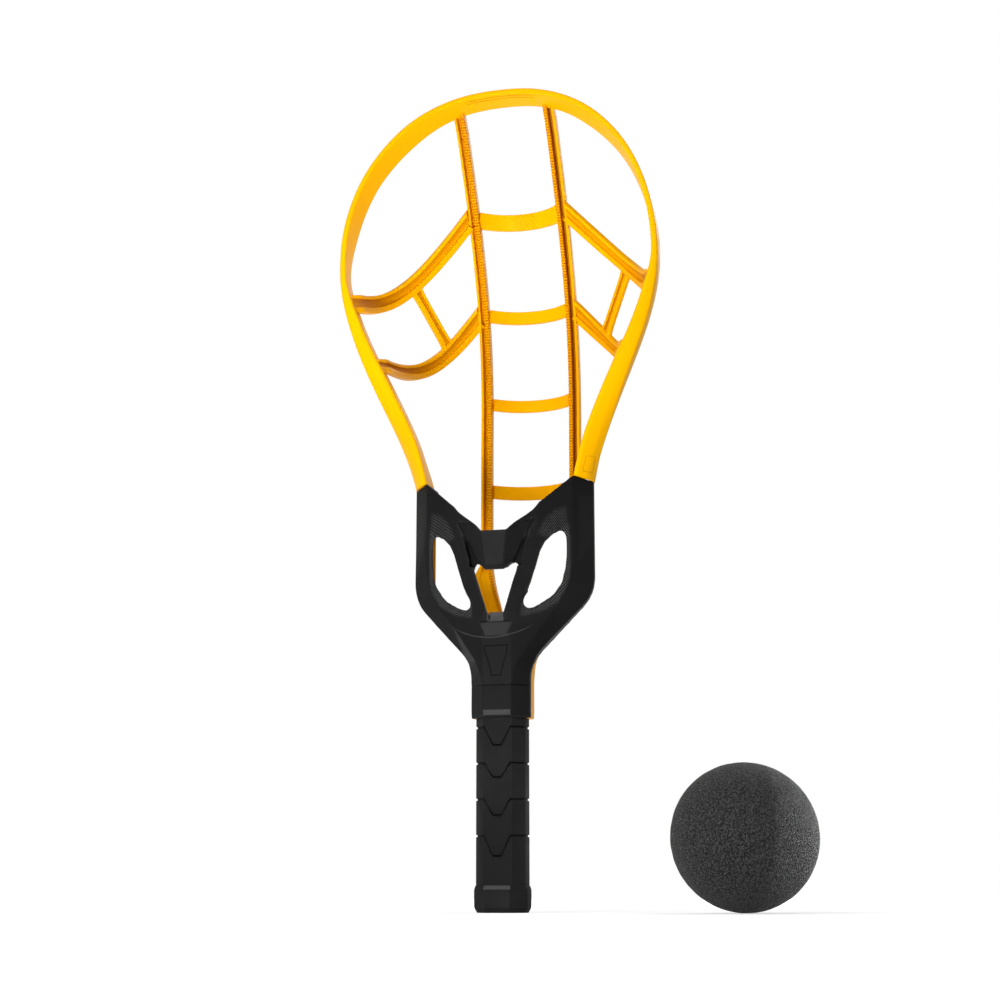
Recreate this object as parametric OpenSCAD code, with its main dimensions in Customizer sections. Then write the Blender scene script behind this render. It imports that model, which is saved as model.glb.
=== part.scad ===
// Scoop catch racket with a toothed two-rail ball track, and its foam ball.
// Z runs up the handle, X across the racket, and -Y is the open front where the ball goes in.
// The origin is the middle of the end cap's flat face.

/* [Head] */
// Height of the crown above the end cap's face
crown_z = 544; // [530:1:560]
// Height at which the hoop is widest
widest_z = 420; // [412:1:430]
// Outside width of the hoop at its widest
head_w = 217.6; // [204:0.2:228]
// Outside width of the hoop and yoke where they meet
shoulder_w = 120; // [114:1:124]
// Lean of the hoop's sides where they leave the yoke
shoulder_lean = 13.2; // [10:0.1:15]

/* [Hoop band] */
// Thickness of the band at the crown
crown_band = 3.6; // [3:0.1:4.4]
// Thickness of the band at the widest place
side_band = 4.3; // [3.6:0.1:6]
// Width of the broad front face low on the sides
low_band = 11.5; // [10:0.5:13]
// Depth of the band at the crown
crown_depth = 17.5; // [15:0.5:20]
// Depth of the band at the widest place
side_depth = 11.5; // [10:0.5:14]
// How far the front edge stands forward of the handle's axis, at most
bow = 22; // [20:0.5:26]
// Wall beside the open channel in the back of the lower band
band_wall = 2.2; // [1.8:0.1:2.8]

/* [Ball track] */
// Distance between the middles of the two rails
track_w = 63; // [60:0.5:68]
// Distance of the rails' front edge behind the handle's axis, along the straight run
track_back = 69.5; // [66:0.5:73]
// Width of a rail
rail_w = 7.4; // [6.4:0.1:8]
// Depth of a rail
rail_d = 6.5; // [5.6:0.1:7.5]
// Wall of a rail's flanges and floor
rail_wall = 1.8; // [1.5:0.1:2]
// Spacing of the teeth on the inner flange
tooth_pitch = 1.95; // [1.8:0.05:3]
// Height of a tooth
tooth_h = 0.7; // [0.4:0.1:1.2]

/* [Rungs] */
// Height of the strip of the top rung
top_rung_h = 10; // [8:0.5:12]
// Height of the strip of the other rungs
rung_h = 8.5; // [6:0.5:11]
// Thickness of a rung
rung_t = 2.6; // [2:0.1:3.4]
// Depth of a rung's hollow
rung_sag = 12; // [10:0.5:14]

/* [Side arms] */
// Width of an upper arm's strip
upper_arm_w = 12.5; // [10:0.5:14]
// Width of a lower arm's strip
lower_arm_w = 11; // [9:0.5:13]
// Thickness of an arm's strip
arm_t = 4; // [3.4:0.1:4.6]
// Width of the link between the arms
link_w = 8; // [6:0.5:10]

/* [Yoke] */
// Height of the yoke's shoulders
shoulder_z = 272; // [268:1:276]
// Wall of the yoke and of the rear shell
shell_wall = 2.4; // [2:0.1:2.8]
// How far the yoke's middle stands forward of the handle's axis, at its upper notch
prow = 22.8; // [20:0.2:26]

/* [Collar and grip] */
// Width of the collar
collar_w = 38.6; // [37:0.2:41]
// Depth of the collar
collar_d = 28; // [27:0.2:30]
// Height of the collar's lower edge
collar_low_z = 120.5; // [118:0.5:123]
// Height of the groove between collar and yoke
collar_top_z = 141; // [138:0.5:143]
// Width of the grip
grip_w = 32.4; // [31:0.2:34]
// Depth of the grip
grip_d = 26.2; // [25:0.2:27]
// Wall of the grip sleeve
sleeve_wall = 2.6; // [2:0.1:3.2]
// Spacing of the grip's ring grooves
ring_pitch = 22.5; // [20:0.5:24]
// Width of a groove in the grip
groove_w = 1.3; // [0.8:0.1:2]
// Depth of a groove in the grip
groove_depth = 0.9; // [0.5:0.1:1.4]

/* [End cap] */
// Width of the end cap
cap_w = 34.9; // [33.6:0.1:37]
// Height of the end cap
cap_h = 16.7; // [14:0.1:20]
// Bevel round the end cap's lower edge
cap_bevel = 3.4; // [2:0.1:4.5]

/* [Ball] */
// Diameter of the foam ball
ball_d = 90; // [85:0.5:95]
// Distance of the ball's middle from the handle's axis
ball_x = 153; // [140:1:180]

/* [Hidden] */
far = crown_z;          // further than any piece reaches from the middle

yellow = "#ffc400";
black = "#232323";
charcoal = "#383838";
steel = "#8a8d90";

// ---- curves ----
function lerp(a, b, t) = a + (b - a) * t;
function unit(v) = v / norm(v);
function bezier(p, t) = let (s = 1 - t)
    s * s * s * p[0] + 3 * s * s * t * p[1] + 3 * s * t * t * p[2] + t * t * t * p[3];
function steps(n) = [for (i = [0:n]) i / n];
// points of a rounded corner c between a and b, with the length d of each leg taken by the round
function corner(a, c, b, d, n = 6) = let (p = c + unit(a - c) * d, q = c + unit(b - c) * d)
    [for (t = steps(n)) (1 - t) * (1 - t) * p + 2 * t * (1 - t) * c + t * t * q];
// smooth curve through rows [key, value], level at both ends
function slope_at(rows, i) = (i == 0 || i == len(rows) - 1) ? 0
    : (rows[i + 1][1] - rows[i - 1][1]) / (rows[i + 1][0] - rows[i - 1][0]);
function through(rows, k) =
    let (last = len(rows) - 1,
         i = min(last - 1, max(0, len([for (r = rows) if (r[0] <= k) 1]) - 1)),
         span = rows[i + 1][0] - rows[i][0],
         t = min(1, max(0, (k - rows[i][0]) / span)))
    (2 * t^3 - 3 * t^2 + 1) * rows[i][1] + (t^3 - 2 * t^2 + t) * span * slope_at(rows, i)
    + (3 * t^2 - 2 * t^3) * rows[i + 1][1] + (t^3 - t^2) * span * slope_at(rows, i + 1);
function cumulative(p) = [for (i = 0, s = 0; i < len(p);
    s = s + (i + 1 < len(p) ? norm(p[i + 1] - p[i]) : 0), i = i + 1) s];

// A closed solid through rings of points, all with the same count, turning right about their course.
// ends lists the faces that close the first and the last ring, as places along the ring.
module loft(rings, ends = []) {
    n = len(rings[0]);
    m = len(rings);
    closed = len(ends) > 0 ? ends : [[for (j = [0:n - 1]) j]];
    points = [for (r = rings) each r];
    sides = [for (i = [0:m - 2]) for (j = [0:n - 1]) let (k = (j + 1) % n)
        each [[i * n + j, (i + 1) * n + k, i * n + k], [i * n + j, (i + 1) * n + j, (i + 1) * n + k]]];
    last = [for (e = closed) [for (j = [len(e) - 1:-1:0]) (m - 1) * n + e[j]]];
    polyhedron(points, concat(sides, closed, last), convexity = 8);
}
// A ring with a groove in its front: centre, thickness direction, width direction, and sizes
function channel(c, n, v, w, t, rim, floor_t) = let (a = w / 2, b = t / 2, g = floor_t - b)
    [for (s = [[-b, -a], [b, -a], [b, rim - a], [g, rim - a], [g, a - rim], [b, a - rim], [b, a], [-b, a]])
        c + n * s[0] + v * s[1]];
channel_ends = [[0, 1, 2, 3], [0, 3, 4, 7], [4, 5, 6, 7]];
// An outline in profile, [back, up], extruded to both sides of the middle
module profile(points, half) {
    rotate([90, 0, 90]) translate([0, 0, -half]) linear_extrude(2 * half) polygon(points);
}
// Outlines seen from the front, [right, up], extruded from the front y0 to the back y1
module face_on(y0, y1) {
    translate([0, y1, 0]) rotate([90, 0, 0]) linear_extrude(y1 - y0, convexity = 8) children();
}

// ---- hoop ----
// k runs from 0 at the yoke over 1 at the widest place to 2 at the middle of the crown
shoulder_x = shoulder_w / 2;
side_rise = widest_z - shoulder_z;
crown_rise = crown_z - widest_z;
tip_w = 11.1;           // width of the band's end on top of the yoke
tip_front = -9;         // front edge there
crown_front = -10.8;    // front edge of the crown
hoop_split = 1.36;      // where the sides end and the crown begins
arm_back = 6;           // back of the yoke's arms
leg_plate_t = 2;        // plate of the legs behind them
roundness = 0.93;       // below 1 the top of the hoop is fuller than an ellipse

function rim(k) = k <= 1
    ? let (a = 3 * k^2 - 2 * k^3, b = k^3 - 2 * k^2 + k)
      [lerp(shoulder_x, head_w / 2, a) + b * side_rise * tan(shoulder_lean), shoulder_z + k * side_rise]
    : [head_w / 2 * max(0, cos(90 * (k - 1)))^roundness, widest_z + crown_rise * sin(90 * (k - 1))];
function rim_dir(k) = k == 0 ? [sin(shoulder_lean), cos(shoulder_lean)]
    : k == 2 ? [-1, 0]
    : unit(rim(k + 0.005) - rim(k - 0.005));
function inward(k) = let (d = rim_dir(k)) [-d[1], d[0]];
function band_w(k) = through([[0, tip_w], [0.2, low_band + 0.8], [0.46, low_band], [0.62, low_band - 1.6],
    [0.8, lerp(side_band, low_band, 0.5)], [1, side_band], [2, crown_band]], k);
function front_y(k) = through([[0, tip_front], [0.2, tip_front - 0.8], [0.46, tip_front - 4.2],
    [0.7, -0.7 * bow], [0.86, -0.79 * bow], [1, -0.88 * bow], [1.15, -bow], [1.35, -0.97 * bow],
    [1.5, lerp(crown_front, -bow, 0.72)], [1.65, lerp(crown_front, -bow, 0.52)],
    [1.8, lerp(crown_front, -bow, 0.24)], [2, crown_front]], k);
function band_d(k) = through([[0, arm_back + leg_plate_t - tip_front], [0.12, 12.5], [0.46, 10.5],
    [1, side_depth], [1.16, lerp(side_depth, crown_depth, 0.7)], [1.4, lerp(side_depth, crown_depth, 0.8)],
    [1.7, lerp(side_depth, crown_depth, 0.8)], [2, crown_depth]], k);
function back_y(k) = front_y(k) + band_d(k);
function front_slant(k) = through([[0, 11.5], [0.2, 9.5], [0.46, 3], [0.8, 1.6], [1, 0.6], [2, 0]], k);
// how far the band's back leans inward, as in a scoop
function band_lean(k) = through([[1, 0], [1.16, 1.6], [1.36, 3.2], [1.6, 4.6], [1.8, 3], [2, 2.4]], k);
function rim_point(k, n, y) = let (p = rim(k) + n * inward(k)) [p[0], y, p[1]];

function band_front(k) = let (w = band_w(k), y = front_y(k), s = front_slant(k))
    [rim_point(k, w, y + 0.6), rim_point(k, 0.8 * w, y - 0.3),
     rim_point(k, 0.25 * w, y + 0.5 * s - 0.4), rim_point(k, 0, y + s)];
function band_ring(k) = let (l = band_lean(k))
    concat([rim_point(k, 0.85 * l, back_y(k)), rim_point(k, band_w(k) + l, back_y(k))], band_front(k));
// the same with a channel in its back, which gets shallow towards the crown
function channel_ring(k) = let (w = band_w(k), l = band_lean(k), wall = min(band_wall, 0.3 * w),
        back = back_y(k),
        floor_y = back - through([[0, 9], [0.12, 4.7], [0.2, 4.5], [0.32, 5.3], [0.5, 6], [0.86, 3],
                                  [hoop_split, 1]], k))
    concat([rim_point(k, 0.85 * l, back), rim_point(k, wall + l, back), rim_point(k, wall + l, floor_y),
            rim_point(k, w - wall + l, floor_y), rim_point(k, w - wall + l, back), rim_point(k, w + l, back)],
           band_front(k));

module hoop_side() {
    loft([for (t = steps(36)) channel_ring(t * hoop_split)],
        [[9, 0, 1, 2], [2, 8, 9], [2, 3, 7, 8], [3, 6, 7], [3, 4, 5, 6]]);
}
module hoop_left() { color(yellow) mirror([1, 0, 0]) hoop_side(); }
module hoop_right() { color(yellow) hoop_side(); }

crown_steps = [for (t = steps(16)) lerp(hoop_split, 2, t)];
module crown_band_solid() {
    half = [for (k = crown_steps) band_ring(k)];
    other = [for (i = [len(half) - 2:-1:0]) [for (p = half[i]) [-p[0], p[1], p[2]]]];
    loft(concat(half, other));
}
module hoop_crown() { color(yellow) crown_band_solid(); }
// everything below the crown's outer face, where the rails end
module under_crown() {
    arch = [for (k = crown_steps) rim(k) + 0.8 * crown_band * inward(k)];
    other = [for (i = [len(arch) - 2:-1:0]) [-arch[i][0], arch[i][1]]];
    face_on(-far, far) polygon(concat([[arch[0][0], 0]], arch, other, [[-arch[0][0], 0]]));
}

// ---- outline shared by the yoke, the legs and the rear shell ----
hip_z = shoulder_z - 73.4;      // where the yoke's straight sides turn inward
waist_z = collar_top_z + 14.2;  // where they meet the neck
neck_x = collar_w / 2;
collar_front = collar_d / 2 + 0.5;
collar_rear = collar_d - collar_front;
leg_low_z = waist_z + 28.5;     // where the legs stand on the rear shell
hip_round = 11.5;               // length that each corner's round takes
waist_round = 10.5;
hip_corner = corner([shoulder_x, shoulder_z], [shoulder_x, hip_z], [neck_x, waist_z], hip_round);
side_line = concat(
    [[shoulder_x, shoulder_z]],
    hip_corner,
    corner([shoulder_x, hip_z], [neck_x, waist_z], [neck_x, collar_low_z], waist_round),
    [[neck_x, collar_low_z]]);
function mirrored(p) = [for (i = [len(p) - 1:-1:0]) [-p[i][0], p[i][1]]];

// The parting between front and rear runs straight up the neck and slants back to the arms
part_y = -1;
part_low_z = waist_z - 6;
part_high_z = hip_z + 2;
function parting(z) = lerp(part_y, arm_back, min(1, max(0, (z - part_low_z) / (part_high_z - part_low_z))));
parting_line = [[part_y, 0], [part_y, part_low_z], [arm_back, part_high_z], [arm_back, crown_z]];
module front_half() { profile(concat([[-far, crown_z], [-far, 0]], parting_line), far); }
module rear_half() { profile(concat(parting_line, [[far, crown_z], [far, 0]]), far); }

// ---- screws ----
screw_r = 1.4;
screw_head_r = 3;
screw_head_h = 1.8;
screw_gap = 0.2;        // clearance round a shank where it passes through
part_gap = 0.3;         // clearance between the yoke and what lies in it
screw_seat = 3;         // from the parting to the underside of a head in the rear shell
boss_r = 3.4;
thread_l = 8;
leg_screw = [shoulder_x - 7.2, shoulder_z - 32];
neck_screw = [0, collar_low_z + 10.5];
body_screw = [22, waist_z + 12.5];
body_screws = [neck_screw, body_screw, [-body_screw[0], body_screw[1]]];
module at_screw(p, y) { translate([p[0], y, p[1]]) rotate([-90, 0, 0]) children(); }

// ---- legs of the hoop inside the yoke ----
leg_dir = unit([neck_x - shoulder_x, waist_z - hip_z]);
leg_end = [shoulder_x, hip_z] + leg_dir * (hip_z - leg_low_z) / -leg_dir[1];
leg_path = concat([for (t = [0, 0.12, 0.5, 1]) [shoulder_x, lerp(shoulder_z, hip_z + hip_round + 1.5, t)]],
    hip_corner, [leg_end]);
rib_front = 11;         // height of a leg's rib in front of its plate
rib_out = shell_wall + 1;       // places across the leg, measured from the outline
rib_in = 10.8;
plate_in = 12.4;
plate_out = [rib_out - 1.4, 1]; // beside the yoke's straight side, and below it
// g is a clearance all round, and rise lifts the leg's upper end
function leg_ring(i, g, rise) = let (
        last = len(leg_path) - 1,
        p = leg_path[i],
        d = i == 0 ? [0, -1] : i == last ? leg_dir : unit(leg_path[i + 1] - leg_path[i - 1]),
        n = [d[1], -d[0]],
        plate = (p[1] > hip_z + 10 ? plate_out[0] : plate_out[1]) - g,
        top = i == 0 ? 1.9 : 0,
        shape = [[rib_out - g, -4.2 - g], [rib_in - 1.8 - top, 0.6 * (1 + top) - rib_front - g],
                 [rib_in - top + g, top - rib_front - g], [rib_in - top + g, g], [plate_in - top + g, g],
                 [plate_in - top + g, leg_plate_t], [plate, leg_plate_t], [plate, g], [rib_out - g, g]])
    [for (s = shape) let (
        q = p + n * s[0],
        r = i == 0 ? q + [0, s[0] * tan(shoulder_lean) + rise]
            : i == last ? q - d * (q[1] - leg_low_z) / d[1] : q)
     [r[0], parting(r[1]) + s[1], r[1]]];
leg_ends = [[0, 1, 2, 3, 8], [6, 7, 8, 3, 4, 5]];
leg_boss_r = 2.5;       // boss of the yoke that stands through the leg's rib
module leg() {
    difference() {
        loft([for (i = [0:len(leg_path) - 1]) leg_ring(i, 0, 0)], leg_ends);
        at_screw(leg_screw, -far) cylinder(r = leg_boss_r + part_gap, h = far + arm_back, $fn = 40);
        at_screw(leg_screw, -far) cylinder(r = screw_r + screw_gap, h = 2 * far, $fn = 32);
    }
}
module leg_space() {
    loft([for (i = [0:len(leg_path) - 1]) leg_ring(i, part_gap, i == 0 ? 6 : 0)], leg_ends);
}
module left_leg() { color(yellow) mirror([1, 0, 0]) leg(); }
module right_leg() { color(yellow) leg(); }

// ---- rails ----
rail_x = track_w / 2;
straight_z = 320;       // below this the rails run straight down
rail_low_z = 238;       // and here their feet begin
rail_curve = [[-1.5, crown_z - 4], [50, crown_z - 90], [track_back + 4, straight_z + 88],
              [track_back, straight_z]];
rail_line = concat([for (t = steps(26)) bezier(rail_curve, t)], [[track_back, rail_low_z]]);
function rail_dir(i) = i == len(rail_line) - 1 ? [0, -1]
    : unit(rail_line[i + 1] - rail_line[max(0, i - 1)]);
// the forward direction, square to the rail's course in profile
function forward(d) = [d[1], -d[0]];
function rail_offset(i, e) = rail_line[i] + e * forward(rail_dir(i));
function rail_edge(e) = [for (i = [0:len(rail_line) - 1]) rail_offset(i, e)];
rail_marks = cumulative(rail_line);
rail_length = rail_marks[len(rail_marks) - 1];
function along_rail(s, e) = let (
        i = min(len(rail_line) - 2, len([for (m = rail_marks) if (m <= s) 1]) - 1),
        t = (s - rail_marks[i]) / (rail_marks[i + 1] - rail_marks[i]))
    lerp(rail_offset(i, e), rail_offset(i + 1, e), t);

tooth_start = 12;       // bare length below the crown
tooth_count = floor((rail_length - tooth_start) / tooth_pitch);
tooth_shape = [[0.15, 0], [0.32, 1], [0.68, 1], [0.85, 0]];
toothed_edge = concat([rail_offset(0, 0)],
    [for (i = [0:tooth_count - 1]) for (s = tooth_shape)
        along_rail(tooth_start + (i + s[0]) * tooth_pitch, s[1] * tooth_h)],
    [rail_offset(len(rail_line) - 1, 0)]);

module rail_slab(x, t, front, back) {
    translate([x, 0, 0]) rotate([90, 0, 90]) linear_extrude(t)
        polygon(concat(front, [for (i = [len(back) - 1:-1:0]) back[i]]));
}
module rail() {
    a = rail_w / 2;
    difference() {
        intersection() {
            union() {
                rail_slab(rail_x - a, rail_wall, toothed_edge, rail_edge(-rail_d));
                rail_slab(rail_x - a, rail_w, rail_edge(rail_wall - rail_d), rail_edge(-rail_d));
                rail_slab(rail_x + a - rail_wall, rail_wall, rail_edge(0), rail_edge(-rail_d));
            }
            under_crown();
        }
        crown_band_solid();
    }
}
module left_rail() { color(yellow) mirror([1, 0, 0]) rail(); }
module right_rail() { color(yellow) rail(); }

// ---- rail feet: the rails curve forward and together down to the rear shell ----
foot_curve = [[rail_x, track_back, rail_low_z], [rail_x, track_back, rail_low_z - 30],
              [rail_x - 18, track_back, waist_z + 36], [8, collar_rear + 0.5, waist_z + 2.8]];
foot_end = 0.85;
foot_toothed = 0.62;    // share of the course that carries teeth
function foot_point(t) = bezier(foot_curve, t);
// course in profile, [back, up]
function foot_dir(t) = t == 0 ? [0, -1]
    : let (d = foot_point(t + 0.005) - foot_point(t - 0.005)) unit([d[1], d[2]]);
function foot_ring(t, tooth) = let (
        p = foot_point(t),
        f = forward(foot_dir(t)),
        a = rail_w / 2,
        b = a - rail_wall,
        e = rail_wall - rail_d)
    [for (s = [[-a, -rail_d], [a, -rail_d], [a, 0], [b, 0], [b, e], [-b, e], [-b, tooth], [-a, tooth]])
        [p[0] + s[0], p[1] + s[1] * f[0], p[2] + s[1] * f[1]]];
foot_marks = cumulative([for (t = steps(40)) foot_point(t * foot_toothed)]);
foot_teeth = round(foot_marks[40] / tooth_pitch);
module foot() {
    toothed = [for (i = [0:foot_teeth - 1]) for (s = [[0.15, 0], [0.5, 1], [0.85, 0]])
        foot_ring((i + s[0]) / foot_teeth * foot_toothed, s[1] * tooth_h)];
    bare = [for (t = steps(6)) foot_ring(lerp(foot_toothed + 0.02, foot_end, t), 0)];
    loft(concat([foot_ring(0, 0)], toothed, bare), [[1, 2, 3, 4], [0, 1, 4, 5], [0, 5, 6, 7]]);
}
module left_rail_foot() { color(yellow) mirror([1, 0, 0]) foot(); }
module right_rail_foot() { color(yellow) foot(); }

// ---- rungs: hollow strips between the rails ----
rung_half = rail_x - rail_w / 2;
rung_r = (rung_half^2 + rung_sag^2) / (2 * rung_sag);
rung_back = rail_d - 1.3;   // how far behind the rails' front a rung's ends reach
rung_tops = [476.8, 413.6, 351.3, 289.3];
low_rung_h = rung_h + 1;
// the strip is level, and leans as the rails do at its height
module rung(z, h) {
    i = len([for (p = rail_line) if (p[1] > z) 1]) - 1;
    q = rail_offset(i, -rung_back);
    r = rail_offset(i + 1, -rung_back);
    p = lerp(q, r, min(1, max(0, (q[1] - z) / (q[1] - r[1]))));
    lean = h * (r[0] - q[0]) / (q[1] - r[1]);
    intersection() {
        translate([0, p[0] + rung_sag - rung_r, z]) rotate([0, 0, 35]) rotate_extrude(angle = 110, $fn = 128)
            polygon([[rung_r - rung_t, 0], [rung_r - rung_t + lean, -h], [rung_r + lean, -h], [rung_r, 0]]);
        translate([-rung_half, 0, 0]) cube([2 * rung_half, far, crown_z]);
    }
}
module rung_1() { color(yellow) rung(rung_tops[0], top_rung_h); }
module rung_2() { color(yellow) rung(rung_tops[1], rung_h); }
module rung_3() { color(yellow) rung(rung_tops[2], rung_h); }
module rung_4() { color(yellow) rung(rung_tops[3], low_rung_h); }

// ---- side arms: grooved strips that lie inside the hoop and sweep back to the rails ----
arm_seat = 0.25;        // gap between an arm and the hoop's inner face
rail_side = rail_x + rail_w / 2;
arm_rim = 2.2;
arm_floor = 1.6;
function arm_start(k, y) = let (p = rim(k) + (band_w(k) + arm_seat + arm_t / 2) * inward(k)) [p[0], y, p[1]];
upper_k = 0.855;
lower_k = 0.543;
upper_start = arm_start(upper_k, -16);
lower_start = arm_start(lower_k, -13);
upper_end = [rail_side, 37, 470];
lower_end = [rail_side, 63, 407];
upper_curve = [upper_start, upper_start + [-3, 62, 11], upper_end + [38, 12, -38], upper_end];
lower_curve = [lower_start, lower_start + [-1.5, 74, 3], lower_end + [26, 6, -27], lower_end];
function arm_frame(curve, t, v0, v1) = let (
        u = unit(bezier(curve, min(1, t + 0.01)) - bezier(curve, max(0, t - 0.01))),
        v = lerp(v0, v1, min(1, 1.6 * t)),
        w = unit(v - (v * u) * u))
    [bezier(curve, t), u, w, cross(w, u)];
function arm_ring(f, w) = channel(f[0], f[3], f[2], w, arm_t, arm_rim, arm_floor);
// slides a ring's points along the course onto the rail's side
function onto_rail(ring, u) = [for (p = ring) p + u * (rail_side - p[0]) / u[0]];
// [width direction at the hoop, at the rail, width at the hoop, width at the rail]
function hoop_up(k) = let (d = rim_dir(k)) [d[0], 0, d[1]];
upper_form = [hoop_up(upper_k), unit([0, -9, 10]), upper_arm_w, upper_arm_w - 1];
lower_form = [hoop_up(lower_k), unit([0, -6.3, 10]), lower_arm_w - 1, lower_arm_w + 1];
function arm_width(form, t) = lerp(form[2], form[3], t);
module arm(curve, form) {
    rings = [for (t = steps(22)) let (f = arm_frame(curve, t, form[0], form[1]))
        t < 1 ? arm_ring(f, arm_width(form, t)) : onto_rail(arm_ring(f, arm_width(form, t)), f[1])];
    loft(rings, channel_ends);
}
module left_upper_arm() { color(yellow) mirror([1, 0, 0]) arm(upper_curve, upper_form); }
module right_upper_arm() { color(yellow) arm(upper_curve, upper_form); }
module left_lower_arm() { color(yellow) mirror([1, 0, 0]) arm(lower_curve, lower_form); }
module right_lower_arm() { color(yellow) arm(lower_curve, lower_form); }

// ---- links from the upper to the lower arms ----
link_top = [0.495, 0.6];      // places along the upper arm
link_low = [0.655, 0.765];    // and along the lower arm
link_t = 3;
link_seat_gap = 0.2;     // gap between a link's ends and the arms' edges
function arm_edge(curve, form, t, side) = let (f = arm_frame(curve, t, form[0], form[1]))
    f[0] + side * (arm_width(form, t) / 2 + link_seat_gap) * f[2];
function link_seat(curve, form, range, side) = let (
        a = arm_edge(curve, form, range[0], side),
        b = arm_edge(curve, form, range[1], side),
        f = arm_frame(curve, (range[0] + range[1]) / 2, form[0], form[1]))
    [(a + b) / 2, unit(b - a), f[3]];
module link() {
    a = link_seat(upper_curve, upper_form, link_top, -1);
    b = link_seat(lower_curve, lower_form, link_low, 1);
    loft([for (t = steps(4)) let (
            v = unit(lerp(a[1], b[1], t)),
            n0 = lerp(a[2], b[2], t),
            n = unit(n0 - (n0 * v) * v))
        channel(lerp(a[0], b[0], t), n, v, link_w, link_t, 2, 1.4)], channel_ends);
}
module left_arm_link() { color(yellow) mirror([1, 0, 0]) link(); }
module right_arm_link() { color(yellow) link(); }

// ---- front yoke ----
face_x = 9.2;           // half width of the front facet
tip = [shoulder_x - tip_w * cos(shoulder_lean), shoulder_z + tip_w * sin(shoulder_lean)];
notch = [8.6, shoulder_z - 33.1];
foot_of_slope = [13.3, shoulder_z - 28];
eye = [for (p = [[-19.5, 35.4], [-17.6, 36.8], [-17.8, 51], [-18.8, 59], [-21.2, 67.2], [-26.5, 74.4],
                 [-33.2, 78.4], [-40.2, 82], [-41.5, 80.5], [-38.1, 69.3], [-34.5, 57.7], [-31.8, 48.3],
                 [-28.7, 42.1], [-23.7, 37.1]]) [shoulder_x + p[0], shoulder_z + 1.4 - p[1]]];
window = [[6, 58.2], [10, 54.6], [12.6, 53.6], [14.4, 55.2], [14.1, 58], [12.4, 63.4], [5.7, 85], [4.2, 86.2]];
function drop(p) = [p[0], shoulder_z - p[1]];
window_line = let (p = [for (q = window) drop(q)]) concat(p, mirrored(p));

// Front surface: [height, facet edge x, y, crease x, y, outer edge x, y]
function collar_row(z, inset) = [z, face_x, inset - collar_front, face_x + 0.4, inset + 0.2 - collar_front,
    neck_x - inset, -5.5];
front_rows = [
    collar_row(collar_low_z, 1), collar_row(collar_low_z + 4.3, 0), collar_row(collar_top_z - 0.7, 0),
    collar_row(collar_top_z - 0.4, 0.6), collar_row(collar_top_z + 0.4, 0.6), collar_row(collar_top_z + 0.7, 0),
    [waist_z - 5, 9.3, -collar_front - 0.6, 11.5, -14.2, neck_x + 0.7, -5.2],
    [waist_z + 1, 9.5, -collar_front - 1, 14, -14, neck_x + 2.7, -3.5],
    [waist_z + 25, 9.3, -17.5, shoulder_x - 29.5, -11.6, neck_x + 25.2, -1.5],
    [hip_z - 6.6, 6.2, -18.7, shoulder_x - 20, -10.5, shoulder_x - 5, 0.5],
    [hip_z + 6.4, 5, lerp(-18.7, -prow, 0.4), shoulder_x - 13.5, -9.5, shoulder_x - 0.6, 1.6],
    [notch[1], notch[0], -prow, shoulder_x - 11, tip_front, shoulder_x, 2.5],
    [shoulder_z + 12, notch[0], -prow - 2.8, tip[0], tip_front, shoulder_x, 2.5]];
function front_ring(r, y) = let (p = [r[3], r[4]], q = [r[5], r[6]], o = q + 0.15 * (q - p),
        half = [[r[1], r[2]], p, o, [o[0], 40]])
    [for (s = concat([for (i = [3:-1:0]) [-half[i][0], half[i][1]]], half)) [s[0], s[1] + y, r[0]]];
module behind_front(y) { loft([for (r = front_rows) front_ring(r, y)]); }

module eyes() {
    polygon(eye);
    polygon(mirrored(eye));
}
module yoke_outline() {
    right = concat([[0, collar_low_z]], [for (i = [len(side_line) - 1:-1:0]) side_line[i]],
        [tip, foot_of_slope, notch, [0, notch[1]]]);
    difference() {
        union() {
            polygon(right);
            polygon(mirrored(right));
        }
        polygon(window_line);
        eyes();
    }
}
strut_depth = 3.2;
nose_depth = 6;
nose_zone = let (p = [drop([0, 57]), drop([17.4, 57]), drop([29, 20]), drop([0, 20])]) concat(p, mirrored(p));
// Height of the front surface's rows either side of z, and its depth there
function row_at(z) = let (i = min(len(front_rows) - 2, len([for (r = front_rows) if (r[0] <= z) 1]) - 1),
        a = front_rows[i], b = front_rows[i + 1])
    lerp(a, b, (z - a[0]) / (b[0] - a[0]));
function front_at(x, z) = let (r = row_at(z))
    x < r[1] ? r[2] : x < r[3] ? lerp(r[2], r[4], (x - r[1]) / (r[3] - r[1]))
        : lerp(r[4], r[6], (x - r[3]) / (r[5] - r[3]));

// a dish sinks from its rim towards the eye on the eye's outer side
dish_depth = 3.4;
dish_rim = [for (p = [[-19.5, 35.4], [-13.5, 30], [-13.2, 45], [-13.2, 59], [-14.8, 70], [-21, 80.6],
                      [-31.5, 86.8], [-43.8, 89.6], [-43.4, 81.5], [-38.1, 69.3], [-34.5, 57.7], [-31.8, 48.3],
                      [-28.7, 42.1], [-23.7, 37.1]]) [shoulder_x + p[0], shoulder_z + 1.4 - p[1]]];
module eye_dish() {
    rim = [for (p = dish_rim) [p[0], front_at(p[0], p[1]), p[1]]];
    floor = [for (p = eye) [p[0], front_at(p[0], p[1]) + dish_depth, p[1]]];
    loft([[for (p = rim) p - [0, 8, 0]], rim, floor, [for (p = floor) p + [0, 12, 0]]]);
}
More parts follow.
